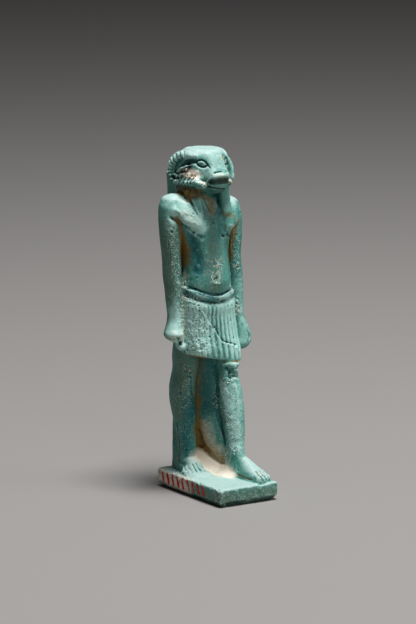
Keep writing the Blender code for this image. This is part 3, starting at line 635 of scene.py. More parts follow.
headMarks = [
    # (height, width, crispness, finish and its strength, line) on the right side, and mirrored on the left;
    # marks in the near-black colour are painted shade in slits, grooves and hollows
    # the hollow between the horn's upper branch and the ear, deepest along the ear, under a raised band that
    # is worn pale and given a painted highlight
    (0.35, 0.55, 2, "pale", 0.5, [(-4.1, 2.8, 74.3), (-4.8, 4.4, 74.5), (-5, 6, 74)]),
    (-0.5, 0.5, 3, "deep", 1.3, [(-4.2, 3, 73.3), (-4.4, 4.3, 73.15), (-4.7, 5.6, 72.75), (-4.9, 6.6, 72.3),
        (-4.9, 7.6, 71.7), (-5, 8.6, 70.9), (-5.2, 9.2, 70.2)]),
    (-0.5, 0.26, 3, "paintedShade", 1.3, [(-4.9, 3.9, 72.9), (-5.1, 5.1, 72.4), (-5.2, 6.6, 71.7),
        (-5.1, 8, 70.9)]),
    # the ear: upper lip, slit, lower lip and the hollow below
    (0.24, 0.16, 2, "pale", 1, [(-5.3, 4.4, 72.5), (-5.9, 5.1, 71.8), (-5.8, 7.1, 70.9),
        (-5.3, 9.6, 69.8)]),
    (-0.6, 0.2, 3, "paintedShade", 1, [(-5.6, 4.4, 71.7), (-6.1, 5.6, 70.9), (-5.4, 8.5, 69.8)]),
    (0.28, 0.18, 2, "pale", 1, [(-5.8, 5.6, 70.2), (-5.7, 7, 69.9), (-5.7, 8.4, 69.3)]),
    (-0.5, 0.32, 3, "paintedShade", 0.9, [(-5.7, 10.3, 69), (-5.8, 8.7, 68.8), (-5.8, 7.1, 69.1)]),
    # the horn's lower branch: a shelf that slopes out to a scalloped edge, with painted shade below
    (0.45, 0.6, 2, "pale", 0.5, [(-5.8, 6.2, 69.1), (-5.3, 4, 69.7), (-4.7, 2.3, 69.8), (-3.9, 1.4, 69.4)]),
    (-0.25, 0.5, 2, "paintedShade", 0.3, [(-5.6, 9, 66.9), (-5.8, 5, 67.2), (-5.2, 1.7, 67.4)]),
    # the eye: its outline, the flat ball, the rim below, the corner
    (-0.34, 0.22, 2, "paintedShade", 1.1, [(-4.1, 2.7, 73.2), (-3.7, 2.2, 73.6), (-3.3, 1.5, 73.75),
        (-2.8, 1, 73.45), (-2.4, 0.4, 72.65), (-2.9, 0.8, 72.2), (-3.4, 1.5, 72.15), (-3.8, 2.2, 72.5),
        (-4.1, 2.7, 73.2)]),
    (0.1, 0.4, 3, "deep", 1, [(-3.6, 1.7, 73), (-3.1, 1, 72.9)]),
    (0, 0.35, 2, "paintedShade", 0.95, [(-3.6, 1.7, 73), (-3, 0.9, 72.9)]),
    (0.06, 0.25, 2, "pale", 0.2, [(-4.2, 2.7, 72.4), (-3.9, 2, 71.9), (-3.5, 1.2, 71.65),
        (-2.9, 0.3, 71.8)]),
    (-0.22, 0.14, 2, "paintedShade", 0.8, [(-2.4, 0.3, 72.5), (-2.1, -0.1, 72)]),
    # between the wig's tail and the shoulder
    (-0.3, 0.6, 2, "soil", 0.9, [(-5.9, 3.9, 66), (-5.7, 3.2, 64.9)]),
]
noseMarks = [
    # marks in the near-black colour here are painted shade in the nostril, the lines, the hollow under the
    # lip and the mouth
    # the nostril, the line over the lip's ridge and its end on the left
    (-0.4, 0.2, 2, "paintedShade", 0.9, [(-1.9, -1.4, 70.95), (-1.6, -1.5, 71.05)]),
    (-0.28, 0.16, 2, "paintedShade", 0.8, [(-1.6, -1.5, 71.05), (-0.9, -1.6, 71.15), (0, -1.65, 71.2)]),
    (-0.2, 0.17, 2, "deep", 0.6, [(1.3, -1.5, 71.1), (2, -1.2, 70.95)]),
    # the hollow under the lip's ridge, the lip's lower edge and the mouth
    (-0.3, 0.7, 2, "paintedShade", 2.1, [(-2.4, -1, 68.95), (-1, -1.6, 69), (0.6, -1.6, 69), (1.8, -1.3, 69)]),
    (0.08, 0.25, 2, "", 0, [(-2.5, -0.1, 68.3), (-2, -1.2, 68.3), (0.1, -1.4, 68.2), (1.8, -1.2, 68.2),
        (3.1, 0.2, 68.2)]),
    (-0.35, 0.2, 2, "paintedShade", 0.8, [(-2.4, 0.1, 67.8), (-1.7, -1, 67.7), (-0.2, -1.2, 67.2),
        (0.9, -1.1, 67.15), (3.1, 0.5, 67.3)]),
    # the edge of the lower branch, which stands out more on the right
    (0.4, 0.4, 2, "pale", 0.25, [(-6, 9, 68.1), (-6, 6.7, 68.3), (-5.9, 4.3, 68.5), (-5.6, 2.6, 68.7),
        (-5.1, 1.4, 68.8), (-4.5, 0.2, 68.5), (-3.6, -0.2, 68.3)]),
    (0.15, 0.4, 2, "", 0, [(6, 9, 68.1), (6, 6.7, 68.3), (5.9, 4.3, 68.5)]),
    # the crevice between the brow and the left side, and the broken tip of the right horn
    (-0.3, 0.28, 2, "soil", 0.9, [(2.4, 1.2, 74.3), (2, 0.2, 73.2), (2.1, -0.3, 72), (2.5, -0.6, 70.8)]),
    (-0.25, 0.45, 2, "bare", 0.7, [(-4.6, 0.7, 69), (-4.2, 0.4, 69), (-4, -0.4, 68.6), (-3.4, -0.4, 68.2)]),
]
carve(headMarks, both=True)
carve(noseMarks)
lobes = [np.add(one, other) / 2 for one, other in zip(horn["ribs"], horn["ribs"][1:])]
# ribs with pale lobes between them, slots in painted shade, and grooves under the lower branch
carve([(*horn["rib"], 2, "deep", 0.8, line) for line in horn["ribs"]]
      + [(*horn["lobe"], 2, "pale", 0.7, (line[0], line.mean(0))) for line in lobes]
      + [(*horn["slot"], 3, "paintedShade", 0.8, line) for line in horn["slots"]]
      + [(*horn["underRib"], 2, "deep", 0.3, [(-6, y, 67.9), (-5.7, y + 0.3, 66.9)])
         for y in horn["underRibs"]], both=True)
print("head carved")

# The body's carving
beltHoles = [
    # (finish, strength, place)
    ("soil", 0.8, (-1.7, 0.7, 40.6)), ("soil", 0.7, (-0.4, 0.7, 40.3)), ("deep", 0.7, (0.6, 0.7, 40.2)),
    ("deep", 0.7, (-5.9, 2.3, 43)), ("deep", 0.7, (-5.5, 2.2, 42.3)),
]
bodyMarks = [
    # (height, width, crispness, finish and its strength, line); marks in the near-black colour are painted
    # shade in folds, holes, crevices and edges
    # the breasts: the fold under the right one and its tip, the left one with three holes under it
    (-0.6, 0.5, 2, "deep", 0.4, [(-9.5, 4.7, 60.5), (-8.1, 4.6, 59.8), (-6.6, 4, 58.8), (-5.5, 2.8, 57.7),
        (-4.1, 2, 56.6), (-3, 1.8, 55.9)]),
    (0.35, 0.8, 2, "pale", 0.25, [(-8.6, 4.3, 62.4), (-7, 3.2, 61), (-5.6, 2.2, 59.2), (-4.2, 1.7, 57.8)]),
    (0.22, 0.45, 2, "", 0, [(-3.5, 1.6, 57.2)]),
    (-0.12, 0.15, 2, "bare", 0.8, [(-3.3, 1.6, 57.4)]),
    (0.35, 0.9, 2, "pale", 0.4, [(4.6, 1.9, 57.8), (6.4, 3, 58.6)]),
    (-0.35, 0.3, 2, "", 0, [(2.7, 1.7, 55.7), (4, 2, 55.9), (5.4, 3.1, 55.3)]),
    (-0.5, 0.26, 3, "paintedShade", 1, [(2.9, 2, 55.5)]),
    (-0.5, 0.32, 3, "paintedShade", 1.7, [(4.4, 2.6, 55.8)]),
    (-0.4, 0.26, 3, "paintedShade", 1.5, [(5.7, 3.4, 55)]),
    # the side of the trunk, its front edge and the last rib
    (-0.45, 1.1, 2, "deep", 0.55, [(-5.4, 2.9, 56), (-4.8, 2.7, 53.9), (-4.2, 2.3, 51.6), (-4.1, 2.1, 49.3),
        (-4.3, 2, 48.2)]),
    (0.22, 0.8, 2, "", 0, [(-2.8, 1.8, 55), (-2.4, 1.7, 52.6), (-2.2, 1.6, 50.5)]),
    (-0.25, 0.8, 2, "deep", 0.3, [(1.6, 1.8, 61), (1.9, 1.9, 58), (1.8, 1.9, 55.6)]),
    (0.2, 0.25, 2, "pale", 0.5, [(6.3, 4.2, 54.4), (6.1, 4.3, 52.1), (5.9, 3.9, 50.2), (5.7, 3.4, 48),
        (5.6, 3, 46.2)]),
    # the navel and the fold under it
    (-0.45, 0.45, 2, "deep", 0.5, [(0.1, 0.2, 46.3), (-0.3, 0.1, 46)]),
    (0.14, 0.22, 2, "pale", 0.3, [(-1.3, 0.3, 46.8), (-1.3, 0.1, 45.9), (-1, 0, 45.3), (-0.3, 0, 45),
        (0.6, 0, 45)]),
    # the belt: the crease over it, its bright upper edge, the dark line under it
    (-0.5, 0.28, 2, "deep", 0.8, [(-6.1, 3, 44.4), (-5.5, 2.4, 44.2), (-4.5, 1.4, 43.8), (-2.8, 0.6, 43.1),
        (-0.7, 0.5, 42.5), (0.6, 0.5, 42.3), (1.8, 0.5, 42.4), (3.2, 0.9, 42.7), (4.6, 1.6, 43.1)]),
    (0.16, 0.2, 2, "pale", 0.35, [(-5.8, 2.6, 43.6), (-4.5, 1.4, 43.2), (-2.8, 0.6, 42.5),
        (-0.7, 0.5, 41.9), (1.8, 0.5, 41.8), (4.4, 1.4, 42.4)]),
    (-0.3, 0.22, 2, "deep", 0.7, [(-6.1, 4, 41.9), (-5.6, 2.6, 41.7), (-3.9, 1.2, 41.2), (-1.7, 0.8, 40.7),
        (-0.2, 0.7, 40.4), (1.2, 0.7, 40.4), (2.7, 0.8, 40.7), (4.4, 1.2, 41.6)]),
    *[(-0.3, 0.16, 3, name, strength, [place]) for name, strength, place in beltHoles],
    # the elbow's edge on the right arm, and the seams of both arms
    (0.09, 0.6, 2, "pale", 0.1, [(-9.5, 4.6, 49.3), (-9, 4.2, 47.6), (-8.4, 3.9, 45.7), (-7.7, 3.8, 43.6)]),
    (-0.12, 0.5, 2, "", 0, [(-9, 4.3, 49.6), (-8.5, 4.2, 47.8), (-7.9, 3.9, 46.2)]),
    (-0.35, 0.3, 2, "deep", 0.7, [(8.1, 4.1, 59.4), (7.9, 4.2, 57.6), (7.5, 4.4, 56.2)]),
    # the lappets' edges
    (-0.2, 0.35, 2, "paintedShade", 0.4, [(-5.5, 4.2, 65.9), (-5.4, 3.1, 64.4), (-5.3, 2, 62.9),
        (-4.6, 1.4, 61.4)]),
    (0.15, 0.3, 2, "pale", 0.5, [(-5, 3.5, 65.9), (-5, 2.7, 64.4), (-4.8, 1.7, 62.9), (-4.2, 1.2, 61.2)]),
    (-0.15, 0.2, 2, "paintedShade", 0.4, [(-1, 4.5, 64.6), (-1.1, 2.8, 62.9), (-0.5, 2.1, 61.2)]),
    (-0.15, 0.2, 2, "paintedShade", 0.3, [(2.5, 3.9, 64.3), (2, 2.7, 62.4), (0.6, 2, 60.6)]),
    # the right fist: the back of the hand, the folded fingers, their shadow and the knob's two holes
    (0.25, 0.9, 2, "pale", 0.5, [(-10.2, 4.2, 33.6), (-9.2, 3.1, 33.3)]),
    (-0.3, 0.25, 2, "soil", 0.7, [(-10.4, 5.1, 32.9), (-9.9, 3.7, 32.5), (-9, 3, 32.5)]),
    (-0.55, 0.5, 2, "paintedShade", 1.2, [(-9.3, 2.7, 32.5), (-8.5, 2.8, 32.5), (-8.5, 3.1, 31.6)]),
    (-0.3, 0.25, 3, "deep", 0.8, [(-7.8, 3, 31)]),
    (-0.2, 0.25, 2, "paintedShade", 1.2, [(-8, 3, 29.6), (-7.2, 3, 29.4)]),
    (-0.25, 0.25, 2, "", 0, [(9.7, 2.1, 32.6), (10.3, 2, 31.2), (9.7, 1.7, 30)]),
    # the knee: ridge, kneecap, the hollow beside it, the lump below and the shin's edge
    (0.22, 0.35, 2, "pale", 0.5, [(1.9, 0.1, 25.9), (2.9, -0.8, 26), (4, -1.3, 26), (5.2, -1.1, 25.9)]),
    (0.25, 0.35, 2, "pale", 0.4, [(3.9, -1.6, 25.2), (3.8, -1.4, 24.6), (4.5, -1.4, 24.3)]),
    (-0.45, 0.4, 2, "deep", 0.8, [(2.2, -0.3, 25), (2.8, -1, 24.2), (2.3, -0.7, 23.3), (2.7, -1.3, 22.6)]),
    (-0.3, 0.22, 2, "deep", 0.6, [(3.1, -1.3, 23.2), (4.3, -1.6, 23), (5, -1.3, 23.1)]),
    (0.2, 0.3, 2, "pale", 0.4, [(3.2, -1.4, 22.4), (4, -1.6, 22.5), (4.7, -1.6, 22.2)]),
    (0.12, 0.5, 2, "pale", 0.2, [(3.4, -2, 21.3), (3.7, -2.4, 20), (3.7, -2.8, 18.4), (3.6, -3.2, 16.5),
        (3.5, -3.7, 14.3), (3.3, -4, 12), (3.2, -4.4, 9)]),
    # the seam between the web and the left leg
    (-0.28, 0.4, 2, "deep", 0.8, [(1.1, 3.4, 24.9), (1.5, 2.9, 23), (1.8, 2.6, 21.4), (1.9, 2.4, 20),
        (1.7, 2.8, 18.5), (1.4, 3, 17.1)]),
    (-0.3, 0.35, 2, "deep", 0.9, [(1.5, 2.6, 14.6), (1.5, 2.4, 13.4), (1.7, 1.7, 11.8), (2.1, 1, 10),
        (2.1, 0.1, 8.3), (2.1, -0.4, 6.8)]),
    # the web's hanging edge turns in; the slope before it is bare, in colour only
    (-0.4, 0.8, 2, "soil", 0.5, [(-1.9, 6.4, 10.4), (-1.3, 6.4, 8.4), (-0.6, 5.8, 6.3), (0.2, 4.4, 4.8),
        (1, 2.4, 3.4), (1.7, 0.2, 2.7)]),
    (-0.4, 0.25, 3, "paintedShade", 1.6, [(1.8, 0.5, 3.7)]),
    (0, 1.2, 2, "bare", 0.6, [(1.5, -1.1, 1.8), (1.4, -2.6, 0.9), (1.5, -4.6, 0.5)]),
    # the right leg's wrinkles, tendon and calf
    (-0.18, 0.25, 2, "deep", 0.5, [(-5.5, 5.1, 25.2), (-4.4, 4.6, 24.8)]),
    (-0.18, 0.25, 2, "deep", 0.5, [(-5.5, 5.4, 24.1), (-4.3, 4.8, 23.6)]),
    (-0.18, 0.25, 2, "deep", 0.4, [(-5.2, 5.3, 23.1), (-4.2, 4.9, 22.7)]),
    (-0.2, 0.3, 2, "deep", 0.5, [(-4.1, 4.4, 22.3), (-4, 5, 20.6), (-3.6, 5.2, 18.4)]),
    (-0.25, 0.35, 2, "deep", 0.6, [(-6, 8.2, 11.2), (-5.6, 8.6, 8.8), (-5.4, 8.1, 7.2), (-5.3, 8, 5.5),
        (-5.4, 8.1, 3.6), (-5.4, 8.2, 2.4)]),
    (-0.2, 0.3, 2, "", 0, [(-5.7, 7.6, 2.3), (-5.8, 6.2, 2), (-5.8, 5, 2.2)]),
    # the toes' seams, and the thin line beside the left foot
    (-0.28, 0.17, 2, "deep", 0.6, [(-4.8, 3.1, 2.4), (-4.8, 2.5, 1.8), (-4.7, 1.6, 0.9)]),
    (-0.28, 0.17, 2, "deep", 0.6, [(-3.8, 3.1, 2.5), (-3.8, 2.3, 1.8), (-3.8, 1.4, 1)]),
    (-0.28, 0.17, 2, "deep", 0.5, [(-2.4, 3.2, 2.3), (-2.3, 2.4, 1.7), (-2.4, 1.3, 1)]),
    (-0.28, 0.17, 2, "soil", 0.5, [(3.9, -10.3, 2.1), (4, -11.4, 1.4), (3.95, -13, 0.5)]),
    (-0.28, 0.17, 2, "soil", 0.5, [(4.9, -10.3, 2.1), (5.1, -11.4, 1.4), (5.2, -12.6, 0.5)]),
    (-0.28, 0.17, 2, "deep", 0.5, [(5.7, -10.3, 1.9), (6, -11.4, 1.3), (6.1, -12.2, 0.5)]),
    (-0.18, 0.16, 2, "soil", 1, [(2, -5.6, 0.9), (1.9, -6.8, 0.8), (1.9, -8.4, 0.7), (2.1, -9.8, 0.6),
        (2.3, -10.7, 0.5)]),
]
carve(bodyMarks)

# The burst bubbles that can be told one by one: (finish, radius, place); those in the near-black colour are
# painted shade in the hole
singleHoles = [
    ("paintedShade", 0.3, (-9.3, 4.8, 57.2)), ("paintedShade", 0.24, (-10.4, 6.8, 56)), ("deep", 0.17, (-9, 4.4, 53.6)),
    ("deep", 0.17, (-10, 5.1, 58.5)), ("deep", 0.17, (-4.2, 1.9, 47.5)), ("deep", 0.22, (-2.4, 0.7, 34.4)),
    ("deep", 0.22, (-1.9, 0.5, 32.6)), ("deep", 0.35, (-4, 0.7, 29.9)), ("deep", 0.2, (3.2, 0.8, 39.3)),
    ("paintedShade", 0.25, (7.7, 4.4, 55.2)), ("paintedShade", 0.25, (7.6, 4.4, 54.1)), ("deep", 0.2, (7.8, 4.2, 52.5)),
    ("bare", 0.25, (7.5, 4.2, 47.9)), ("soil", 0.2, (8.1, 4, 47.4)), ("deep", 0.2, (7.9, 4, 46.7)),
    ("deep", 0.2, (-6, 2.2, 39.2)), ("deep", 0.17, (-4.2, 1.1, 38.9)), ("deep", 0.17, (5.5, 1.6, 38.2)),
    ("deep", 0.2, (4.5, 1.2, 39.2)), ("soil", 0.2, (-6.5, 7, 17.6)), ("deep", 0.2, (-6.1, 6.2, 19.1)),
    ("soil", 0.22, (-3.2, 5.3, 18.4)), ("soil", 0.2, (-1.1, 6.2, 16.9)), ("soil", 0.2, (-1.1, 5.9, 21.5)),
    ("soil", 0.17, (-1, 6, 20.3)), ("soil", 0.25, (-5.1, 5, 24.6)), ("bare", 0.2, (-4.4, 5.1, 21)),
    ("soil", 0.2, (-5.4, 5.6, 17.3)), ("bare", 0.22, (1.5, 0.6, 19.4)), ("bare", 0.2, (1.1, 3.3, 16)),
]
carve([(-0.9 * radius, radius, 3, name, 1, [place]) for name, radius, place in singleHoles])
print("body carved")


# The kilt's pleats: each goes down the cloth at its own place round the waist
pleats = {
    "height": 0.25,
    "upperPitch": 1.08,
    "lowerPitch": 1.4,
    "lowerShift": 0.3,            # of a pleat
    "round": 0.7,                 # 1 is a bare sine, less is rounder
    "waist": (6.9, 5, 3.3),       # half width, depth and squareness of the round that they are counted on
    "hem": (27.4, 27.9),          # they begin between these heights
    "foot": 26.4,                 # and nowhere below this one
    "belt": 40.2,                 # they end under it
    "wrapFrom": -4.6,
    "worn": 0.75,                 # share that is worn off the right front,
    "wornSide": (3.9, 5),         # between these places outwards
    "wornHeight": (30, 32.5),     # and above these heights
    # where the upper cloth's edge runs: across, and up
    "wrap": [
        (-4.2, 40.4), (-3.9, 39), (-2.9, 37.5), (-2.3, 36.3), (-1.6, 35.1), (-0.5, 34), (0.4, 32.5),
        (1, 31.2), (2.5, 30.6), (3.9, 30), (5, 29.4), (6, 28.6), (7.5, 28)],
}


def kiltPlace(points):
    # arc length round the kilt from its middle front, by the angle on a rounded oblong, and the height
    rows = np.array(cloth["kilt"])
    z = np.clip(points[:, 2] - hemLift(points[:, 0], points[:, 2]), rows[0, 0], rows[-1, 0])
    x, y, half, front = (np.interp(z, rows[:, 0], rows[:, i]) for i in (1, 2, 3, 4))
    slant, begins, full = cloth["turn"]
    across = points[:, 0] - x
    ahead = y - points[:, 1] - slant * np.clip((begins - z) / (begins - full), 0, 1) * across
    angle = np.arctan2(across / half, ahead / front)
    wide, deep, square = pleats["waist"]
    sweep = np.linspace(-np.pi, np.pi, 721)
    u = wide * np.sign(np.sin(sweep)) * np.abs(np.sin(sweep)) ** (2 / square)
    v = deep * np.sign(np.cos(sweep)) * np.abs(np.cos(sweep)) ** (2 / square)
    length = np.concatenate([[0], np.cumsum(np.hypot(np.diff(u), np.diff(v)))])
    length -= np.interp(0, sweep, length)
    return np.interp(angle, np.arctan2(u / wide, v / deep), length), z


def pleatKilt():
    # each pleat is a round ridge, |sin(pi * its place / pitch)| ^ round, on one of the two cloths
    points, normals = corners(piece), facing(piece)
    x, y, z = points.T
    near = ((z > 26) & (z < 43) & (np.abs(x) < 7.4) & (y < 5.2)).nonzero()[0]
    x, y, z = points[near].T
    length, height = kiltPlace(points[near])
    upper = rise(z - np.interp(x, *np.array(pleats["wrap"]).T), -0.1, 0.25) * (x > pleats["wrapFrom"]) > 0.5
    wave = np.where(upper, np.abs(np.sin(np.pi * length / pleats["upperPitch"])),
                    np.abs(np.sin(np.pi * (length / pleats["lowerPitch"] + pleats["lowerShift"]))))
    worn = 1 - pleats["worn"] * rise(-x, *pleats["wornSide"]) * rise(z, *pleats["wornHeight"])
    # shown between hem and belt, on what faces forward or half to the side
    shown = rise(height, *pleats["hem"]) * rise(pleats["belt"] + beltLift(x, 0) - z, 0.2, 1.2)
    shown *= rise(-normals[near, 1] + 0.5 * np.abs(normals[near, 0]), 0.25, 0.5)
    shown *= z > pleats["foot"] + cloth["hemSlope"] * x
    lift = pleats["height"] * (wave ** pleats["round"] - 0.6) * worn * shown
    lift *= 0.85 + 0.5 * noise(points[near], 1.6, 5)
    tint["deep"][near] += 0.8 * (1 - wave) ** 2 * worn * shown
    tint["pale"][near] += 0.6 * wave ** 4 * worn * shown
    points[near] += normals[near] * lift[:, None]
    putCorners(piece, points)


pleatKilt()
wrapMarks = [
    # the upper cloth's edge stands up a little, over a groove
    (0.07, 0.32, 2, "pale", 0.2, [(-4, 1, 39.3), (-3.9, 1, 39), (-2.9, 0.9, 37.5), (-2.3, 0.8, 36.3),
        (-1.6, 0.7, 35.1)]),
    (0.1, 0.26, 2, "pale", 0.35, [(-0.5, 0.5, 34), (0.4, 0.3, 32.5), (1, 0, 31.2), (2.5, -0.3, 30.6),
        (3.9, -0.4, 30), (5, -0.4, 29.4), (6, -0.2, 28.6)]),
    (-0.1, 0.3, 2, "deep", 0.4, [(-3.3, 0.9, 38.9), (-2.4, 0.9, 37.5), (-1.6, 0.8, 36.2),
        (-0.4, 0.6, 34.9)]),
    (-0.22, 0.4, 2, "deep", 0.8, [(-0.4, 0.6, 34.6), (0.5, 0.4, 33.3)]),
    (-0.25, 0.2, 2, "deep", 0.7, [(0.5, 0.4, 33.2), (1.2, 0.1, 31.9), (1.9, -0.1, 31.2), (3.2, -0.3, 30.9),
        (5.1, -0.2, 30.1)]),
]
carve(wrapMarks)
print("kilt pleated")


# Wear: pits, crumbs, worn edges and chips
crowds = {
    # where the skin is full of holes: (how thick the pits are, how thick the crumbs, places and their reach)
    # bare body: the horn's tip, the kilt's right side, the left arm's inner side
    "bare": (1, 1, [
        (-4.6, 0.7, 69, 1), (-4, -0.2, 68.6, 1), (-5.6, 2.6, 40.2, 3), (-5.2, 1.8, 37, 3.3),
        (-5.2, 1.6, 34, 3.3), (-4.8, 1.4, 31, 3), (-6.9, 3.8, 45, 1.6), (-7, 4, 42, 1.5), (-7, 4, 36, 1.3),
        (5, 1.6, 43.5, 1.4), (6.4, 3, 41.4, 1.4), (7.4, 3.8, 39.6, 1.4), (7.7, 3.3, 37.4, 1.4),
        (7.9, 4, 47.5, 1.3)]),
    "shin": (1, 1, [
        (1.7, 2.6, 16.6, 1.6), (1.7, 0.6, 14.6, 2), (1.6, -1.3, 13.2, 1.9), (1.7, -2.3, 10.8, 1.5),
        (1.9, -3.1, 8.9, 1.3), (2.4, -1, 22.6, 1.5), (1.5, 0.6, 19, 1.5)]),
    "belly": (0.2, 0.15, [(1.2, 1, 49, 2.2), (0.6, 0.3, 47, 1.9), (1.2, 1.2, 51, 1.6), (-0.6, 0.2, 46, 1.2)]),
    "arm": (0.5, 0, [(-8.8, 4.1, 50.5, 1.8), (-8.3, 4, 47, 1.6), (-9.2, 4.5, 54, 2), (-9.2, 4.5, 57, 1.6)]),
    # the left foot's inner side and the plinth's right side
    "foot": (1, 0, [
        (1.6, -1.5, 4.2, 2.2), (1.9, -3.4, 6.2, 1.6), (-plinthSide, 8, -0.6, 2.6),
        (-plinthSide, 3.5, -0.8, 2.6), (-plinthSide, -0.5, -1, 2.2), (-plinthSide, 11.5, -1, 2.2)]),
}
wear = {
    # size of the cells, share of them that hold one, seed
    "pits": (0.5, 0.7, 11),
    "crumbs": (0.45, 0.6, 31),
    "strayPits": (0.6, 0.02, 51),
    "pitDepth": 0.19,
    "crumbHeight": 0.15,
    "strayDepth": 0.18,
    # the plinth's top edge: how deep it is bitten, how much more on the right, how much it is worn all along
    "bite": 0.48,
    "rightBite": 0.3,
    "rub": 0.08,
    "lowEdge": 1.35,      # how far the lower edge is worn away
    # planes that cut corners off the plinth: a point on the plane and the way it faces
    "chips": [
        ((plinthSide, -plinthEnd, -0.8), (1, -0.2, -0.23)), ((plinthSide, -12.6, -4), (0.62, -0.55, -0.56)),
        ((plinthSide, -13.3, -3.2), (0.8, -0.5, -0.33)), ((-8, -12.9, -4), (-0.5, -0.5, -0.7)),
        ((-8, 13.2, -0.3), (-0.5, 0.6, 0.62))],
}


def zone(points, places):
    # 1 near any of the places, 0 away from them; a place is (x, y, z, reach)
    found = np.zeros(len(points))
    for x, y, z, reach in places:
        away = np.linalg.norm(points - (x, y, z), axis=1)
        found = np.maximum(found, 1 - rise(away, 0.6 * reach, reach))
    return found


def pitted(points, normals):
    # pits and crumbs where they crowd, stray pits above the feet, and noise of three sizes all over
    zones = {name: zone(points, places) for name, (_, _, places) in crowds.items()}
    dense, crumbly = (np.clip(sum(crowd[i] * zones[name] for name, crowd in crowds.items()), 0, 1)
                      for i in (0, 1))
    some = (dense > 0.02).nonzero()[0]
    small, crumbs = np.zeros(len(points)), np.zeros(len(points))
    small[some] = bubbles(points[some], *wear["pits"]) * dense[some]
    crumbs[some] = bubbles(points[some], *wear["crumbs"]) * crumbly[some]
    stray = bubbles(points, *wear["strayPits"]) * (points[:, 2] > 1.5)
    rough = wear["crumbHeight"] * np.clip(crumbs * 1.5, 0, 1) - wear["pitDepth"] * np.clip(small * 1.5, 0, 1)
    rough -= wear["strayDepth"] * np.clip(stray * 1.6, 0, 1)
    # painted shade in the pits
    tint["paintedShade"] += 0.1 * np.clip(small * 2, 0, 1) + 0.4 * np.clip(stray * 2, 0, 1)
    tint["bare"] += 0.55 * np.clip(crumbs * 2.2, 0, 1)
    tint["bare"] += 0.12 * zones["bare"] * rise(noise(points, 1.1, 3), 0, 0.6)
    grit = tint["grit"] = np.clip(tint["grit"] + dense, 0, 1)
    rough += 0.05 * noise(points, 2.6, 1) + (0.035 + 0.06 * grit) * noise(points, 0.9, 2)
    rough += (0.015 + 0.05 * grit) * noise(points, 0.5, 4)
    return points + normals * rough[:, None]


def wornPlinth(points, normals, start):
    # start is where the corners were before the pits; side is how far in from the plinth's outline they lie
    x, y, z = start.T
    plinth = z < 0.4
    beside, behind = plinthSide - np.abs(x), plinthEnd - np.abs(y)
    side = np.minimum(behind, beside)
    bite = rise(noise(points, 1.6, 7) + 0.6 * noise(points, 0.6, 8), -0.05, 0.8) * plinth
    points = points + normals * (0.1 * noise(points, 3.4, 12) * plinth)[:, None]
    top = (1 - rise(side, 0, 0.7)) * (1 - rise(np.abs(z), 0, 0.5)) * plinth
    bitten = (wear["bite"] + wear["rightBite"] * (x < -7)) * top * bite + wear["rub"] * top
    points = points - normals * bitten[:, None]
    tint["pale"] += 0.7 * top
    # the lower edge is worn away all round, so that the plinth stands a little inside its outline
    low = wear["lowEdge"] - side - (z + amulet["plinthHeight"]) * 0.9 + 0.25 * noise(points, 1.8, 15)
    low = np.clip(low, 0, None) * plinth
    inward = np.stack([-np.sign(x) * (beside < 1.2), -np.sign(y) * (behind < 1.2), 0 * z], axis=1)
    points = points + inward * low[:, None] * 0.8
    # painted shadow along the worn lower edge, where the plinth stands off the floor
    tint["paintedShade"] += np.clip(low * 1.6, 0, 0.9)
    for place, way in wear["chips"]:
        way = np.array(way) / np.linalg.norm(way)
        over = np.clip((points - place) @ way + 0.12 * noise(points, 0.8, 9), 0, None) * (z < 0.3)
        points = points - over[:, None] * way
        tint["pale"] += 0.3 * np.clip(over * 2, 0, 1)
    return points


grits = [
    # where the glaze is rough and full of crumbs: (how rough, reach, line)
    (1, 3.6, [(-5.4, 1.6, 39), (-5, 1.4, 31)]),
    (0.6, 3.4, [(-2, 0.8, 36), (-1, 0.6, 30)]),
    (0.9, 2.2, [(1.5, 2.4, 17), (1.7, -0.5, 13.5), (2, -3.2, 8)]),
    (1, 1.8, [(1.4, 1, 4.6), (1.6, -1.6, 3.6)]),
    (0.7, 2.6, [(0.8, 0.6, 49), (-0.4, 0.4, 46)]),
    (0.9, 2.2, [(-plinthSide, 13, -1), (-plinthSide, -2, -1.2)]),
    (0.5, 3, [(-plinthSide, plinthEnd, -2.5), (-plinthSide, -plinthEnd, -2.5)]),
    (0.4, 3, [(-plinthSide, -plinthEnd, -2.5), (plinthSide, -plinthEnd, -2.5)]),
    (0.7, 1.6, [(-9, 4.4, 58), (-8.2, 4, 46)]),
    (0.6, 1.6, [(-8.6, 4, 44), (-7.8, 3.6, 36)]),
    (0.7, 1.6, [(5.5, 2, 43), (7.7, 3.4, 37)]),
    (0.6, 1.8, [(7.9, 4.2, 55), (7.8, 4, 46)]),
    (0.8, 1.4, [(-4.6, 0.7, 69.2), (-3.6, -0.3, 68.4)]),
    (0.15, 2.2, [(-4.6, 2.2, 70.2), (-2.6, 0, 70.4)]),
    (0.5, 2.5, [(-5.6, 8, 9), (-5.6, 8, 3)]),
    (0.4, 2.5, [(-7.6, 3, 61.5), (-4.2, 1.6, 58.5)]),
    (0.5, 2, [(1.8, 0.2, 74), (2.6, 0, 71)]),
    (0.5, 2.6, [(-5.5, 5.5, 24), (-5.8, 6, 16)]),
    (0.7, 3.4, [(2.6, 0, 21), (2.8, -3.6, 7)]),
]
start, normals = corners(piece), facing(piece)
for strength, reach, line in grits:
    away = np.linalg.norm(nearest(start, np.array(line)), axis=1)
    tint["grit"] = np.maximum(tint["grit"], strength * (1 - rise(away, 0.3 * reach, reach)))
putCorners(piece, wornPlinth(pitted(start, normals), normals, start))
print("weathered")
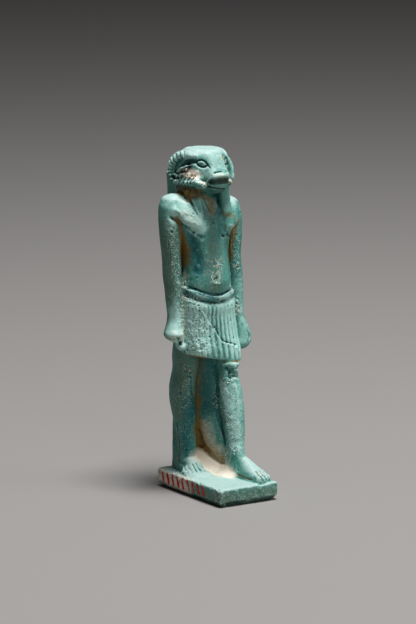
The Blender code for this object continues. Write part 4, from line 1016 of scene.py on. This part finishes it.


# Stains, painted shade and painted highlights: colour only, nothing is raised
stains = {
    # for each finish: (strength, reach, line)
    "grey": [      # lost its blue: the right side, the front, the plinth's sides
        # head
        (1, 1.2, [(4.3, 1.2, 69.4), (3.8, 0.2, 68.8)]),
        # trunk and arms
        (1, 4.2, [(-10, 5, 58), (-10, 5, 50), (-10, 5, 43)]),
        (0.8, 3, [(0.2, 2.6, 62), (0, 1.8, 56), (-1, 0.6, 46), (-0.6, 0.3, 43.6)]),
        # legs
        (1, 3.6, [(-5.5, 5.5, 27), (-6, 6, 20), (-6.2, 6.5, 14)]),
        # feet and plinth
        (0.8, 3, [(-plinthSide, -plinthEnd, -2.8), (-plinthSide, plinthEnd, -2.8)]),
        (0.9, 2.8, [(-plinthSide, -plinthEnd, -2.6), (plinthSide, -plinthEnd, -2.6)]),
    ],
    "deep": [      # glaze that ran deep
        # head
        (1, 1, [(3.9, 1, 69), (3.4, -0.3, 68.6)]),
        # trunk and arms
        (0.8, 2, [(-4.9, 2.9, 57), (-4.4, 2.5, 52), (-4.4, 2.1, 48)]),
        (0.6, 2.8, [(0, 2.2, 62), (0.3, 1.9, 57), (-0.5, 1.3, 51), (-2.5, 1, 46.5)]),
        (0.5, 2.2, [(8.2, 4.4, 60), (8.3, 4.4, 52), (8.4, 4, 46)]),
        (0.5, 1.3, [(5.5, 1.8, 48), (4, 1, 45.5)]),
        (0.8, 1.3, [(2.6, 3.4, 66), (2.8, 3.2, 62.5)]),
        # kilt and fists
        (1.8, 1.2, [(-6, 3, 42.8), (-2.8, 0.6, 41.9), (1.2, 0.5, 41.2), (4.6, 1.6, 42.1)]),
        # legs
        (1, 3.4, [(-0.4, 4.8, 26.5), (-0.7, 5.6, 20), (-0.2, 5, 15)]),
        (1.1, 2.4, [(-4.6, 5.2, 17), (-4.4, 5.2, 12), (-4.8, 5.8, 7.5), (-4.2, 5.2, 4)]),
        (0.7, 0.9, [(1.1, 3.4, 24.9), (1.9, 2.4, 20), (1.4, 3, 16.5), (1.7, 1.7, 11.8), (2.1, -0.4, 6.8)]),
        (0.5, 1.6, [(2.2, -2.6, 12.6), (2.3, -3.4, 9)]),
        (0.4, 1.3, [(2.6, -1, 19.5), (2.4, -1.6, 16.5)]),
        (0.6, 0.7, [(-6, 8.2, 11.2), (-5.5, 8.3, 7.5), (-5.4, 8.1, 2.6)]),
        (0.7, 1.1, [(2.1, -1.9, 19), (1.8, -1.6, 16.6)]),
        (0.8, 1.1, [(2.7, -3.4, 13), (2.9, -4.1, 10.4)]),
        # feet and plinth
        (1, 0.4, [(2.5, -10.5, 1.2), (2.7, -12.4, 1.2)]),
        (0.35, 3, [(-4.4, -2, 0), (-4.8, -7, 0), (-4, -12, 0), (-0.1, -11.9, 0)]),
    ],
    "soil": [      # brown in the corners and crevices
        # head
        (0.5, 1.7, [(-5.4, 8, 65.9), (-5.6, 5, 66), (-5.4, 3.2, 66), (-3.7, 2.7, 66.2)]),
        (0.3, 0.6, [(-2.2, -1.4, 69.7), (0, -1.8, 69.8), (1.9, -1.6, 69.6)]),
        (0.2, 0.9, [(-4.2, 0.4, 69), (-3.5, -0.3, 68.4)]),
        (0.7, 0.8, [(2.6, -0.6, 69.3), (2.9, -0.2, 68)]),
        # trunk and arms
        (0.9, 1, [(-8, 4.8, 60.5), (-7, 5, 56.9), (-6.3, 5.3, 52), (-6.1, 5.3, 49.3)]),
        (0.6, 1.3, [(-6.2, 4.8, 56), (-5.9, 4.7, 53)]),
        (0.6, 1.9, [(-5.9, 4.7, 52.5), (-5.8, 4.5, 50.5)]),
        (0.9, 1, [(8.1, 4.6, 58.5), (7.2, 4.8, 55.6), (6.9, 5, 53), (6.6, 5, 49.5)]),
        (0.6, 1.3, [(-1.2, 4.5, 64.9), (0.6, 3.9, 63.6), (-0.2, 2.3, 61.6)]),
        (0.5, 1, [(3, 1.2, 60.7), (4.6, 1.4, 60.3)]),
        (0.15, 3, [(0, 1.6, 53), (-0.5, 0.6, 47)]),
        # kilt and fists
        (0.8, 0.35, [(-6.1, 4.3, 28.4), (-5.2, 1.6, 28.4), (-3.3, 0.4, 28), (1.8, -0.1, 26.6),
            (3.6, -0.9, 26.5), (5.8, -0.5, 26.4)]),
        # legs
        (0.5, 1.9, [(-1.9, 4.4, 27), (-1.9, 5.4, 22), (-1.8, 6.3, 17)]),
        (0.6, 1.6, [(-1.8, 6.4, 16), (-1.7, 6.7, 13), (-1.7, 6.7, 10)]),
        (0.9, 2.4, [(-1.9, 6.5, 10.8), (-1.2, 6.1, 8.2), (-0.4, 5.3, 6.1), (0.4, 3.8, 4.4), (1.2, 1.7, 3)]),
        (0.3, 0.5, [(3.4, -2.2, 20.5), (3.6, -3.2, 16), (3.4, -4, 11)]),
        (0.25, 2.4, [(0.4, 4.2, 9.5), (0.9, 2.8, 7), (1.6, 0.9, 4.4)]),
        # feet and plinth
        (0.5, 1, [(-8, 13.2, 0), (-5.4, 12.9, 0)]),
        (0.35, 1.4, [(-plinthSide, 12, -0.8), (-plinthSide, 4, -0.8), (-plinthSide, -1, -0.9)]),
    ],
    "paintedShade": [      # shade in the hollows
        # head
        (1.3, 1.5, [(-5.6, 8, 66), (-5.6, 4.6, 66), (-4.6, 2.8, 66)]),
        (0.6, 1.3, [(-1.6, -0.6, 66.9), (2, -0.6, 66.9)]),
        (0.9, 1.8, [(-5.1, 3, 65.8), (-2.4, 2.6, 65.8)]),
        (0.4, 1.2, [(-6, 9, 67), (-5.8, 4, 66.9), (-4, 0.8, 66.9), (-1, -0.6, 66.4), (2, -0.4, 66.4)]),
        (0.35, 1.2, [(-6.2, 8, 67.6), (-6, 4, 67.8), (-5.4, 1.6, 67.9)]),
        (0.5, 0.9, [(4.3, 1.2, 69.4), (3.8, 0.2, 68.8)]),
        (0.9, 0.45, [(-5, 3.7, 71.9)]),
        (1.2, 0.55, [(-5.7, 5.1, 71.5), (-5.2, 4.3, 71.6)]),
        # trunk and arms
        (0.9, 0.6, [(-5.9, 5.6, 48.9), (-5.9, 5.5, 47.3)]),
        (0.25, 3, [(0, 1.6, 53), (-0.5, 0.6, 47)]),
        # kilt and fists
        (0.6, 0.9, [(-5, 1.6, 42.2), (-2.8, 0.6, 41.8), (1.2, 0.5, 41.1), (4.2, 1.4, 41.9)]),
        (1, 0.7, [(-10.8, 5, 32.3), (-10.3, 3.6, 32), (-9.5, 3, 31.8)]),
        # legs
        (0.45, 3, [(-4, 4.4, 27), (-4.2, 5, 23.5)]),
        # feet and plinth
        (0.9, 0.5, [(-0.4, 6.4, 6.2), (0.4, 4.6, 4.5), (1.2, 2.7, 3), (1.9, 0.6, 2.2), (2, -1.6, 1.8)]),
    ],
    "bare": [      # bare body showing
        # head
        (0.5, 0.6, [(2.2, -1.4, 69.6), (2.6, -0.8, 68.4)]),
        (0.7, 0.6, [(-2, -1.4, 70.3), (0, -1.9, 70.4), (2, -1.4, 70.2)]),
        (1.6, 1.4, [(-5.6, 4.4, 70.5), (-5.1, 3, 70.6), (-4.5, 2.2, 70.3)]),
        # bare body on the horn's top, also a painted highlight where it lies in shade
        (0.3, 1.2, [(-4.4, 3.4, 74.4), (-4.8, 5, 74.2), (-5, 6.6, 73.9)]),
        (0.35, 1.6, [(1, 0.6, 75), (2.2, 0.2, 73.6)]),
        # trunk and arms
        (0.45, 1.2, [(-6.4, 4.9, 47.4), (-5.6, 4, 46.4)]),
        (0.5, 2.2, [(-7, 2.8, 61.4), (-5, 1.8, 59.4)]),
        (0.4, 1.6, [(1.2, 1, 50), (0.6, 0.3, 46.5)]),
        # kilt and fists
        (0.45, 2.2, [(-9.4, 3.2, 34), (-8.8, 3, 32.8)]),
        (0.25, 2.4, [(1.5, 0.8, 39.4), (4.2, 1.1, 39.4)]),
        (0.5, 0.9, [(-6.2, 5, 47.4), (-6.9, 3.7, 43.4), (-7, 3.3, 38.8), (-7.2, 3, 34.1),
            (-7.4, 2.6, 30.9)]),
        (0.4, 0.9, [(4.5, 1.4, 44.4), (5.5, 2, 42.5), (7.2, 4, 40.4), (7.4, 3.6, 38.6), (7.7, 3.2, 36.9)]),
        # legs
        (0.5, 2.6, [(-0.4, 4.8, 11), (0.2, 4.2, 8.5), (1, 2.5, 6), (1.8, -1.6, 4)]),
        (0.12, 2.6, [(0.6, 4, 9.5), (1.2, 1.8, 5.5)]),
        # feet and plinth
        (0.7, 2.6, [(-2.9, 4.7, 3.6), (-1, 4.6, 2.6), (0.6, 1, 0.6), (1.6, -3.2, 0.2)]),
        (1.2, 2, [(-1.6, 6.4, 3.6), (-0.9, 4.8, 2.6), (0.2, 2.4, 1.2), (1, 0, 0.5), (1.3, -3, 0.4)]),
        (0.6, 2.2, [(-plinthSide, 13, -0.9), (-plinthSide, -1, -0.8)]),
        (0.8, 1.8, [(-plinthSide, 13, -2.8), (-plinthSide, 0, -2.8)]),
    ],
    "pale": [      # worn pale
        # head
        (1, 1.8, [(-3.6, 1.4, 71), (-2.2, -0.4, 70.8)]),
        (0.6, 1, [(-1.5, -1.5, 70.4), (1.5, -1.4, 70.3)]),
        # worn pale on the horn's top, with a painted highlight where it turns from the lamp
        (1.2, 1.4, [(-4.7, 4.6, 75), (-4.9, 7, 74.7), (-5.2, 9.2, 73.9)]),
        (0.8, 1.2, [(-5.6, 10.6, 73.2), (-5.7, 12, 71)]),
        # trunk and arms
        (0.9, 2.4, [(-9.2, 6.5, 64.6), (-6.8, 5.4, 64.4)]),
        (0.6, 2.4, [(-9.8, 4.2, 61), (-9.9, 4.4, 58)]),
        # worn pale on the right breast, with a painted highlight
        (1.9, 2.6, [(-7.4, 3, 61.6), (-5.6, 2, 59.6), (-4, 1.6, 58.2)]),
        # kilt and fists
        (0.7, 2.6, [(1.5, 0.8, 39.4), (4.2, 1.1, 39.4)]),
        (0.9, 3.8, [(3.5, 0.5, 39), (4.5, 0.3, 34), (5.5, 0.3, 29.5)]),
        # worn pale on the kilt's right side, with a painted highlight where it faces away from the lamps
        (2.1, 3.8, [(-5.2, 1.8, 39), (-4.4, 1, 35), (-4.8, 1.2, 31)]),
        (0.4, 2.4, [(8.8, 2.8, 44), (9, 2.6, 37), (9.6, 2, 31.5)]),
        # worn pale on the right fist's top, with a painted highlight
        (1.6, 2.4, [(-9.3, 3.2, 33.5), (-7.6, 3, 31.5)]),
        (0.35, 2.4, [(-9.3, 3.6, 41), (-9.3, 3.4, 36)]),
        (1.3, 2.4, [(-9.6, 3.8, 38), (-9.8, 3.8, 35)]),
        # legs
        (0.35, 3.4, [(-0.4, 4.8, 11.5), (0.2, 4.2, 8)]),
        (0.4, 2, [(3.4, -2, 22), (3.6, -3.2, 16), (3.3, -4, 10), (3.4, -5, 5.5)]),
        (0.4, 1.3, [(5.2, -1, 24), (5.6, -2, 17), (5.6, -3, 10), (5, -4.5, 5.5)]),
        # worn pale on the left shin's inner side, with a painted highlight where the lamps leave it dark
        (1.2, 2, [(1.7, 0.3, 20.8), (1.7, -1.3, 17.6), (1.7, -2.1, 14.2), (1.9, -3, 10.8),
            (2.1, -3.7, 7.3)]),
        # feet and plinth
        (0.6, 2.2, [(2, -1.4, 2.2), (2.2, -5, 1.2)]),
    ],
}
# a row of slanted strokes along the plinth's right side
ticks = {
    "count": 9,
    "first": 10.8,       # how far back the middle of the first one is
    "apart": -2.15,
    "lean": 0.3,         # how much further back than that its top is, and how much less its foot
    "top": -0.7,
    "foot": -2.6,
    "strength": 1.2,
    "reach": 0.5,
}
middles = [ticks["first"] + ticks["apart"] * i for i in range(ticks["count"])]
strokes = [[(-plinthSide, y + ticks["lean"], ticks["top"]), (-plinthSide, y - ticks["lean"], ticks["foot"])]
           for y in middles]
stains["tick"] = [(ticks["strength"], ticks["reach"], stroke) for stroke in strokes]


def blurred(values, rounds):
    # each corner's value becomes the mean of its neighbours', again and again
    for _ in range(rounds):
        values = neighbourMean(values, edges)
    return values


def stain():
    # full strength up to a tenth of the reach from the line, nothing past 1.3 times the reach
    points = corners(piece)
    for name, marks in stains.items():
        for strength, reach, line in marks:
            line = np.array(line)
            low, high = line.min(0) - 1.3 * reach, line.max(0) + 1.3 * reach
            near = ((points > low) & (points < high)).all(1).nonzero()[0]
            away = np.linalg.norm(nearest(points[near], line), axis=1)
            tint[name][near] += strength * (1 - rise(away, 0.1 * reach, 1.3 * reach))
    # what faces up is worn pale and gets a painted highlight, and what faces down gets painted shade in the
    # deep glaze's colour
    up = blurred(facing(piece)[:, 2:3], 8)[:, 0]
    tint["worn"] += rise(up, 0.1, 0.95)
    tint["deep"] += 0.5 * rise(-up, 0.1, 0.9)


def hollows(rounds):
    # how far the skin lies below the mean of its surroundings, in millimetres
    points = corners(piece)
    return ((blurred(points, rounds) - points) * facing(piece)).sum(1)


def thinAmulet():
    # from millimetres over the plinth's top to metres over the floor, then down to the most triangles
    putCorners(piece, (corners(piece) + (0, 0, amulet["plinthHeight"])) / 1000)
    thin = piece.modifiers.new("thin", "DECIMATE")
    thin.ratio = min(1, amulet["mostTriangles"] / (2 * len(piece.data.polygons)))
    settle(piece)
    piece.data.shade_smooth()


stain()
tint["near"] = hollows(6)
tint["wide"] = hollows(60)
for name, values in tint.items():
    piece.data.attributes.new(name, "FLOAT", "POINT").data.foreach_set("value", values.astype(np.float32))
print("stained")
thinAmulet()
print("thinned to", len(piece.data.loop_triangles), "triangles")


# Shader maths: a socket's value that can be added, taken away and multiplied
class Value:
    def __init__(self, tree, socket):
        self.tree, self.socket = tree, socket

    def maths(self, operation, first, second):
        return self.tree.number("ShaderNodeMath", {"operation": operation}, {0: first, 1: second})

    def __add__(self, other):
        return self.maths("ADD", self, other)

    def __radd__(self, other):
        return self.maths("ADD", other, self)

    def __sub__(self, other):
        return self.maths("SUBTRACT", self, other)

    def __rsub__(self, other):
        return self.maths("SUBTRACT", other, self)

    def __mul__(self, other):
        return self.maths("MULTIPLY", self, other)

    def __rmul__(self, other):
        return self.maths("MULTIPLY", other, self)

    def clipped(self, low, high):
        # 0 at low, 1 at high, straight between
        return self.tree.number("ShaderNodeMapRange", {"clamp": True},
                                {"Value": self, "From Min": low, "From Max": high})


# A material's nodes; add takes a node's type, its settings and its sockets' values or links
class Tree:
    def __init__(self, material):
        self.nodes, self.links = material.node_tree.nodes, material.node_tree.links

    def add(self, kind, settings, values):
        node = self.nodes.new(kind)
        for name, value in settings.items():
            setattr(node, name, value)
        for name, value in values.items():
            if isinstance(value, Value):
                self.links.new(value.socket, node.inputs[name])
            elif isinstance(value, bpy.types.NodeSocket):
                self.links.new(value, node.inputs[name])
            else:
                node.inputs[name].default_value = value
        return node

    def number(self, kind, settings, values, output=0):
        return Value(self, self.add(kind, settings, values).outputs[output])

    def attribute(self, name):
        return self.number("ShaderNodeAttribute", {"attribute_name": name}, {}, "Fac")

    def paint(self, factor, first, second):
        # the first colour where factor is 0, the second where it is 1
        return self.add("ShaderNodeMix", {"data_type": "RGBA"}, {0: factor, 6: first, 7: second}).outputs[2]

    def cloud(self, place, scale, detail=3, roughness=0.55):
        values = {"Vector": place, "Scale": scale, "Detail": detail, "Roughness": roughness}
        return self.number("ShaderNodeTexNoise", {}, values)


glaze = {
    "light": (0.17, 0.41, 0.355, 1),     # the ground drifts between light and mid
    "mid": (0.06, 0.25, 0.205, 1),
    "pale": (0.44, 0.72, 0.655, 1),
    # worn pale with a painted highlight, for what faces up
    "worn": (0.37, 0.505, 0.48, 1),
    # the deep glaze, also used as painted shade on what faces down
    "deep": (0.012, 0.145, 0.155, 1),
    # painted shade in grooves, slits, pits, hollows and along the plinth's lower edge
    "paintedShade": (0.012, 0.035, 0.028, 1),
    "grey": (0.13, 0.185, 0.135, 1),
    "soil": (0.29, 0.175, 0.045, 1),
    "bare": (0.82, 0.72, 0.61, 1),
    "crumb": (0.66, 0.75, 0.67, 1),
    "tick": (0.6, 0.02, 0.02, 1),
    "rim": 5,                            # how much small rims are worn pale and small hollows get painted shade
    "sink": 0.3,                         # how much wide hollows keep from wearing
    "roughness": 0.5,
    "shine": 0.3,
    "bump": 0.0002,                      # metres
}


def makeFaience():
    # the ground first, then each finish over it where its attribute and three sizes of noise say
    material = bpy.data.materials.new("faience")
    material.use_nodes = True
    tree = Tree(material)
    shader = tree.nodes["Principled BSDF"]
    place = tree.add("ShaderNodeTexCoord", {}, {}).outputs["Object"]
    place = tree.add("ShaderNodeVectorMath", {"operation": "SCALE"}, {0: place, "Scale": 1000}).outputs[0]
    part = {name: tree.attribute(name) for name in tint}
    broad = tree.cloud(place, 0.16)
    patchy = tree.cloud(place, 0.55, 4)
    spots = tree.cloud(place, 1.4, 3, 0.65)
    grain = tree.cloud(place, 3)
    crumb = tree.cloud(place, 3.2, 2, 0.6)
    broken = (patchy - 0.5) * 0.7 + (spots - 0.5) * 1.4 + (grain - 0.5) * 1.8
    # rim: small rims worn pale and small hollows in painted shade; sunk: wide hollows keep their glaze
    rim, sunk = part["near"] * glaze["rim"], part["wide"] * glaze["sink"]

    def over(colour, name, share, low, high, most=0.95, patches=0.5):
        # nothing shows where the share is at low, the most where it is at high, and patches tear the edge
        return tree.paint((share + broken * patches).clipped(low, high) * most, colour, glaze[name])

    colour = tree.paint((broad * 1.4 + patchy * 0.9 - 0.85).clipped(0, 0.8), glaze["mid"], glaze["light"])
    colour = over(colour, "grey", part["grey"], 0.1, 1.2, 0.85)
    # the deep glaze, with painted shade on what faces down
    colour = over(colour, "deep", part["deep"] + part["wide"] * 0.8 + (broad - 0.5) * 0.9, 0.15, 1, 0.85)
    colour = over(colour, "pale", part["pale"] - rim - sunk, 0.15, 1.1, patches=0.8)
    # worn pale with a painted highlight on what faces up
    colour = over(colour, "worn", part["worn"] - rim - sunk, 0.15, 1)
    # painted shade in the hollows, more in small ones
    colour = over(colour, "paintedShade", part["paintedShade"] + rim, 0.25, 1.1, 0.9)
    colour = over(colour, "soil", part["soil"], 0.1, 0.75)
    colour = over(colour, "bare", part["bare"], 0.25, 1.1, 0.92, 0.35)
    # light crumbs and dark specks, more of them where the skin is gritty
    colour = tree.paint(crumb.clipped(0.55, 0.64) * (part["grit"] * 0.7 + 0.12), colour, glaze["crumb"])
    colour = tree.paint(crumb.clipped(0.44, 0.36) * (part["grit"] * 0.5 + 0.15), colour, glaze["deep"])
    colour = over(colour, "tick", part["tick"], 0.4, 0.6, 1)
    tree.links.new(colour, shader.inputs["Base Color"])
    shader.inputs["Roughness"].default_value = glaze["roughness"]
    shader.inputs["Specular IOR Level"].default_value = glaze["shine"]
    height = (crumb + grain * 0.5) * (part["grit"] + 0.3)
    bump = tree.add("ShaderNodeBump", {}, {"Strength": 0.7, "Distance": glaze["bump"], "Height": height})
    tree.links.new(bump.outputs[0], shader.inputs["Normal"])
    return material


piece.data.materials.clear()
piece.data.materials.append(makeFaience())

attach(piece, "root")
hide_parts("ram_headed_amulet")

studio = {
    "azimuth": -33.1,      # degrees, the camera's way round from straight in front
    "elevation": 10.8,
    "distance": 0.8,       # metres, as are all lengths here but the lens
    "target": (-0.00258, 0, 0.04293),
    "lens": 201,           # millimetres, on a picture 36 mm high
    # each lamp's place, size and power; all face the middle
    "lamps": {
        "key": ((0.03, -0.12, 0.8), 0.26, 8.4),
        "fill": ((0.75, -0.75, 0.3), 0.4, 1.9),
        "front": ((-0.3, -0.95, 0.35), 0.5, 0.95),
    },
    "middle": (0, 0, 0.04),
    "floorReach": 4,
    "paper": (0.26, 0.25, 0.243, 1),
    "room": (0.04, 0.04, 0.042, 1),
}


def makeCamera():
    # back is the way from the target to the camera
    turn, tilt = math.radians(studio["azimuth"]), math.radians(studio["elevation"])
    back = Vector((math.sin(turn) * math.cos(tilt), -math.cos(turn) * math.cos(tilt), math.sin(tilt)))
    data = bpy.data.cameras.new("camera")
    data.lens, data.sensor_width = studio["lens"], 36
    data.clip_start, data.clip_end = 0.01, 20
    camera = placed("camera", data)
    camera.location = Vector(studio["target"]) + back * studio["distance"]
    camera.rotation_euler = back.to_track_quat("Z", "Y").to_euler()
    bpy.context.scene.camera = camera


def makeLamp(name, place, size, power):
    # a square lamp that faces the middle
    data = bpy.data.lights.new(name, "AREA")
    data.size, data.energy = size, power
    lamp = placed(name, data)
    lamp.location = place
    lamp.rotation_euler = (Vector(place) - Vector(studio["middle"])).to_track_quat("Z", "Y").to_euler()


def makeFloor():
    # one square of grey paper
    mesh = bpy.data.meshes.new("floor")
    reach = studio["floorReach"]
    mesh.from_pydata([(-reach, -reach, 0), (reach, -reach, 0), (reach, reach, 0), (-reach, reach, 0)],
                     [], [(0, 1, 2, 3)])
    paper = bpy.data.materials.new("paper")
    paper.use_nodes = True
    shader = paper.node_tree.nodes["Principled BSDF"]
    shader.inputs["Base Color"].default_value = studio["paper"]
    shader.inputs["Roughness"].default_value = 0.9
    mesh.materials.append(paper)
    placed("floor", mesh)


def makeRoom():
    # faint light from all round, and how the picture is developed
    room = bpy.data.worlds.new("room")
    room.use_nodes = True
    room.node_tree.nodes["Background"].inputs["Color"].default_value = studio["room"]
    bpy.context.scene.world = room
    bpy.context.scene.view_settings.view_transform = "Standard"
    bpy.context.scene.view_settings.look = "Medium High Contrast"


makeCamera()
makeFloor()
makeRoom()
for name, (place, size, power) in studio["lamps"].items():
    makeLamp(name, place, size, power)
print("studio set")
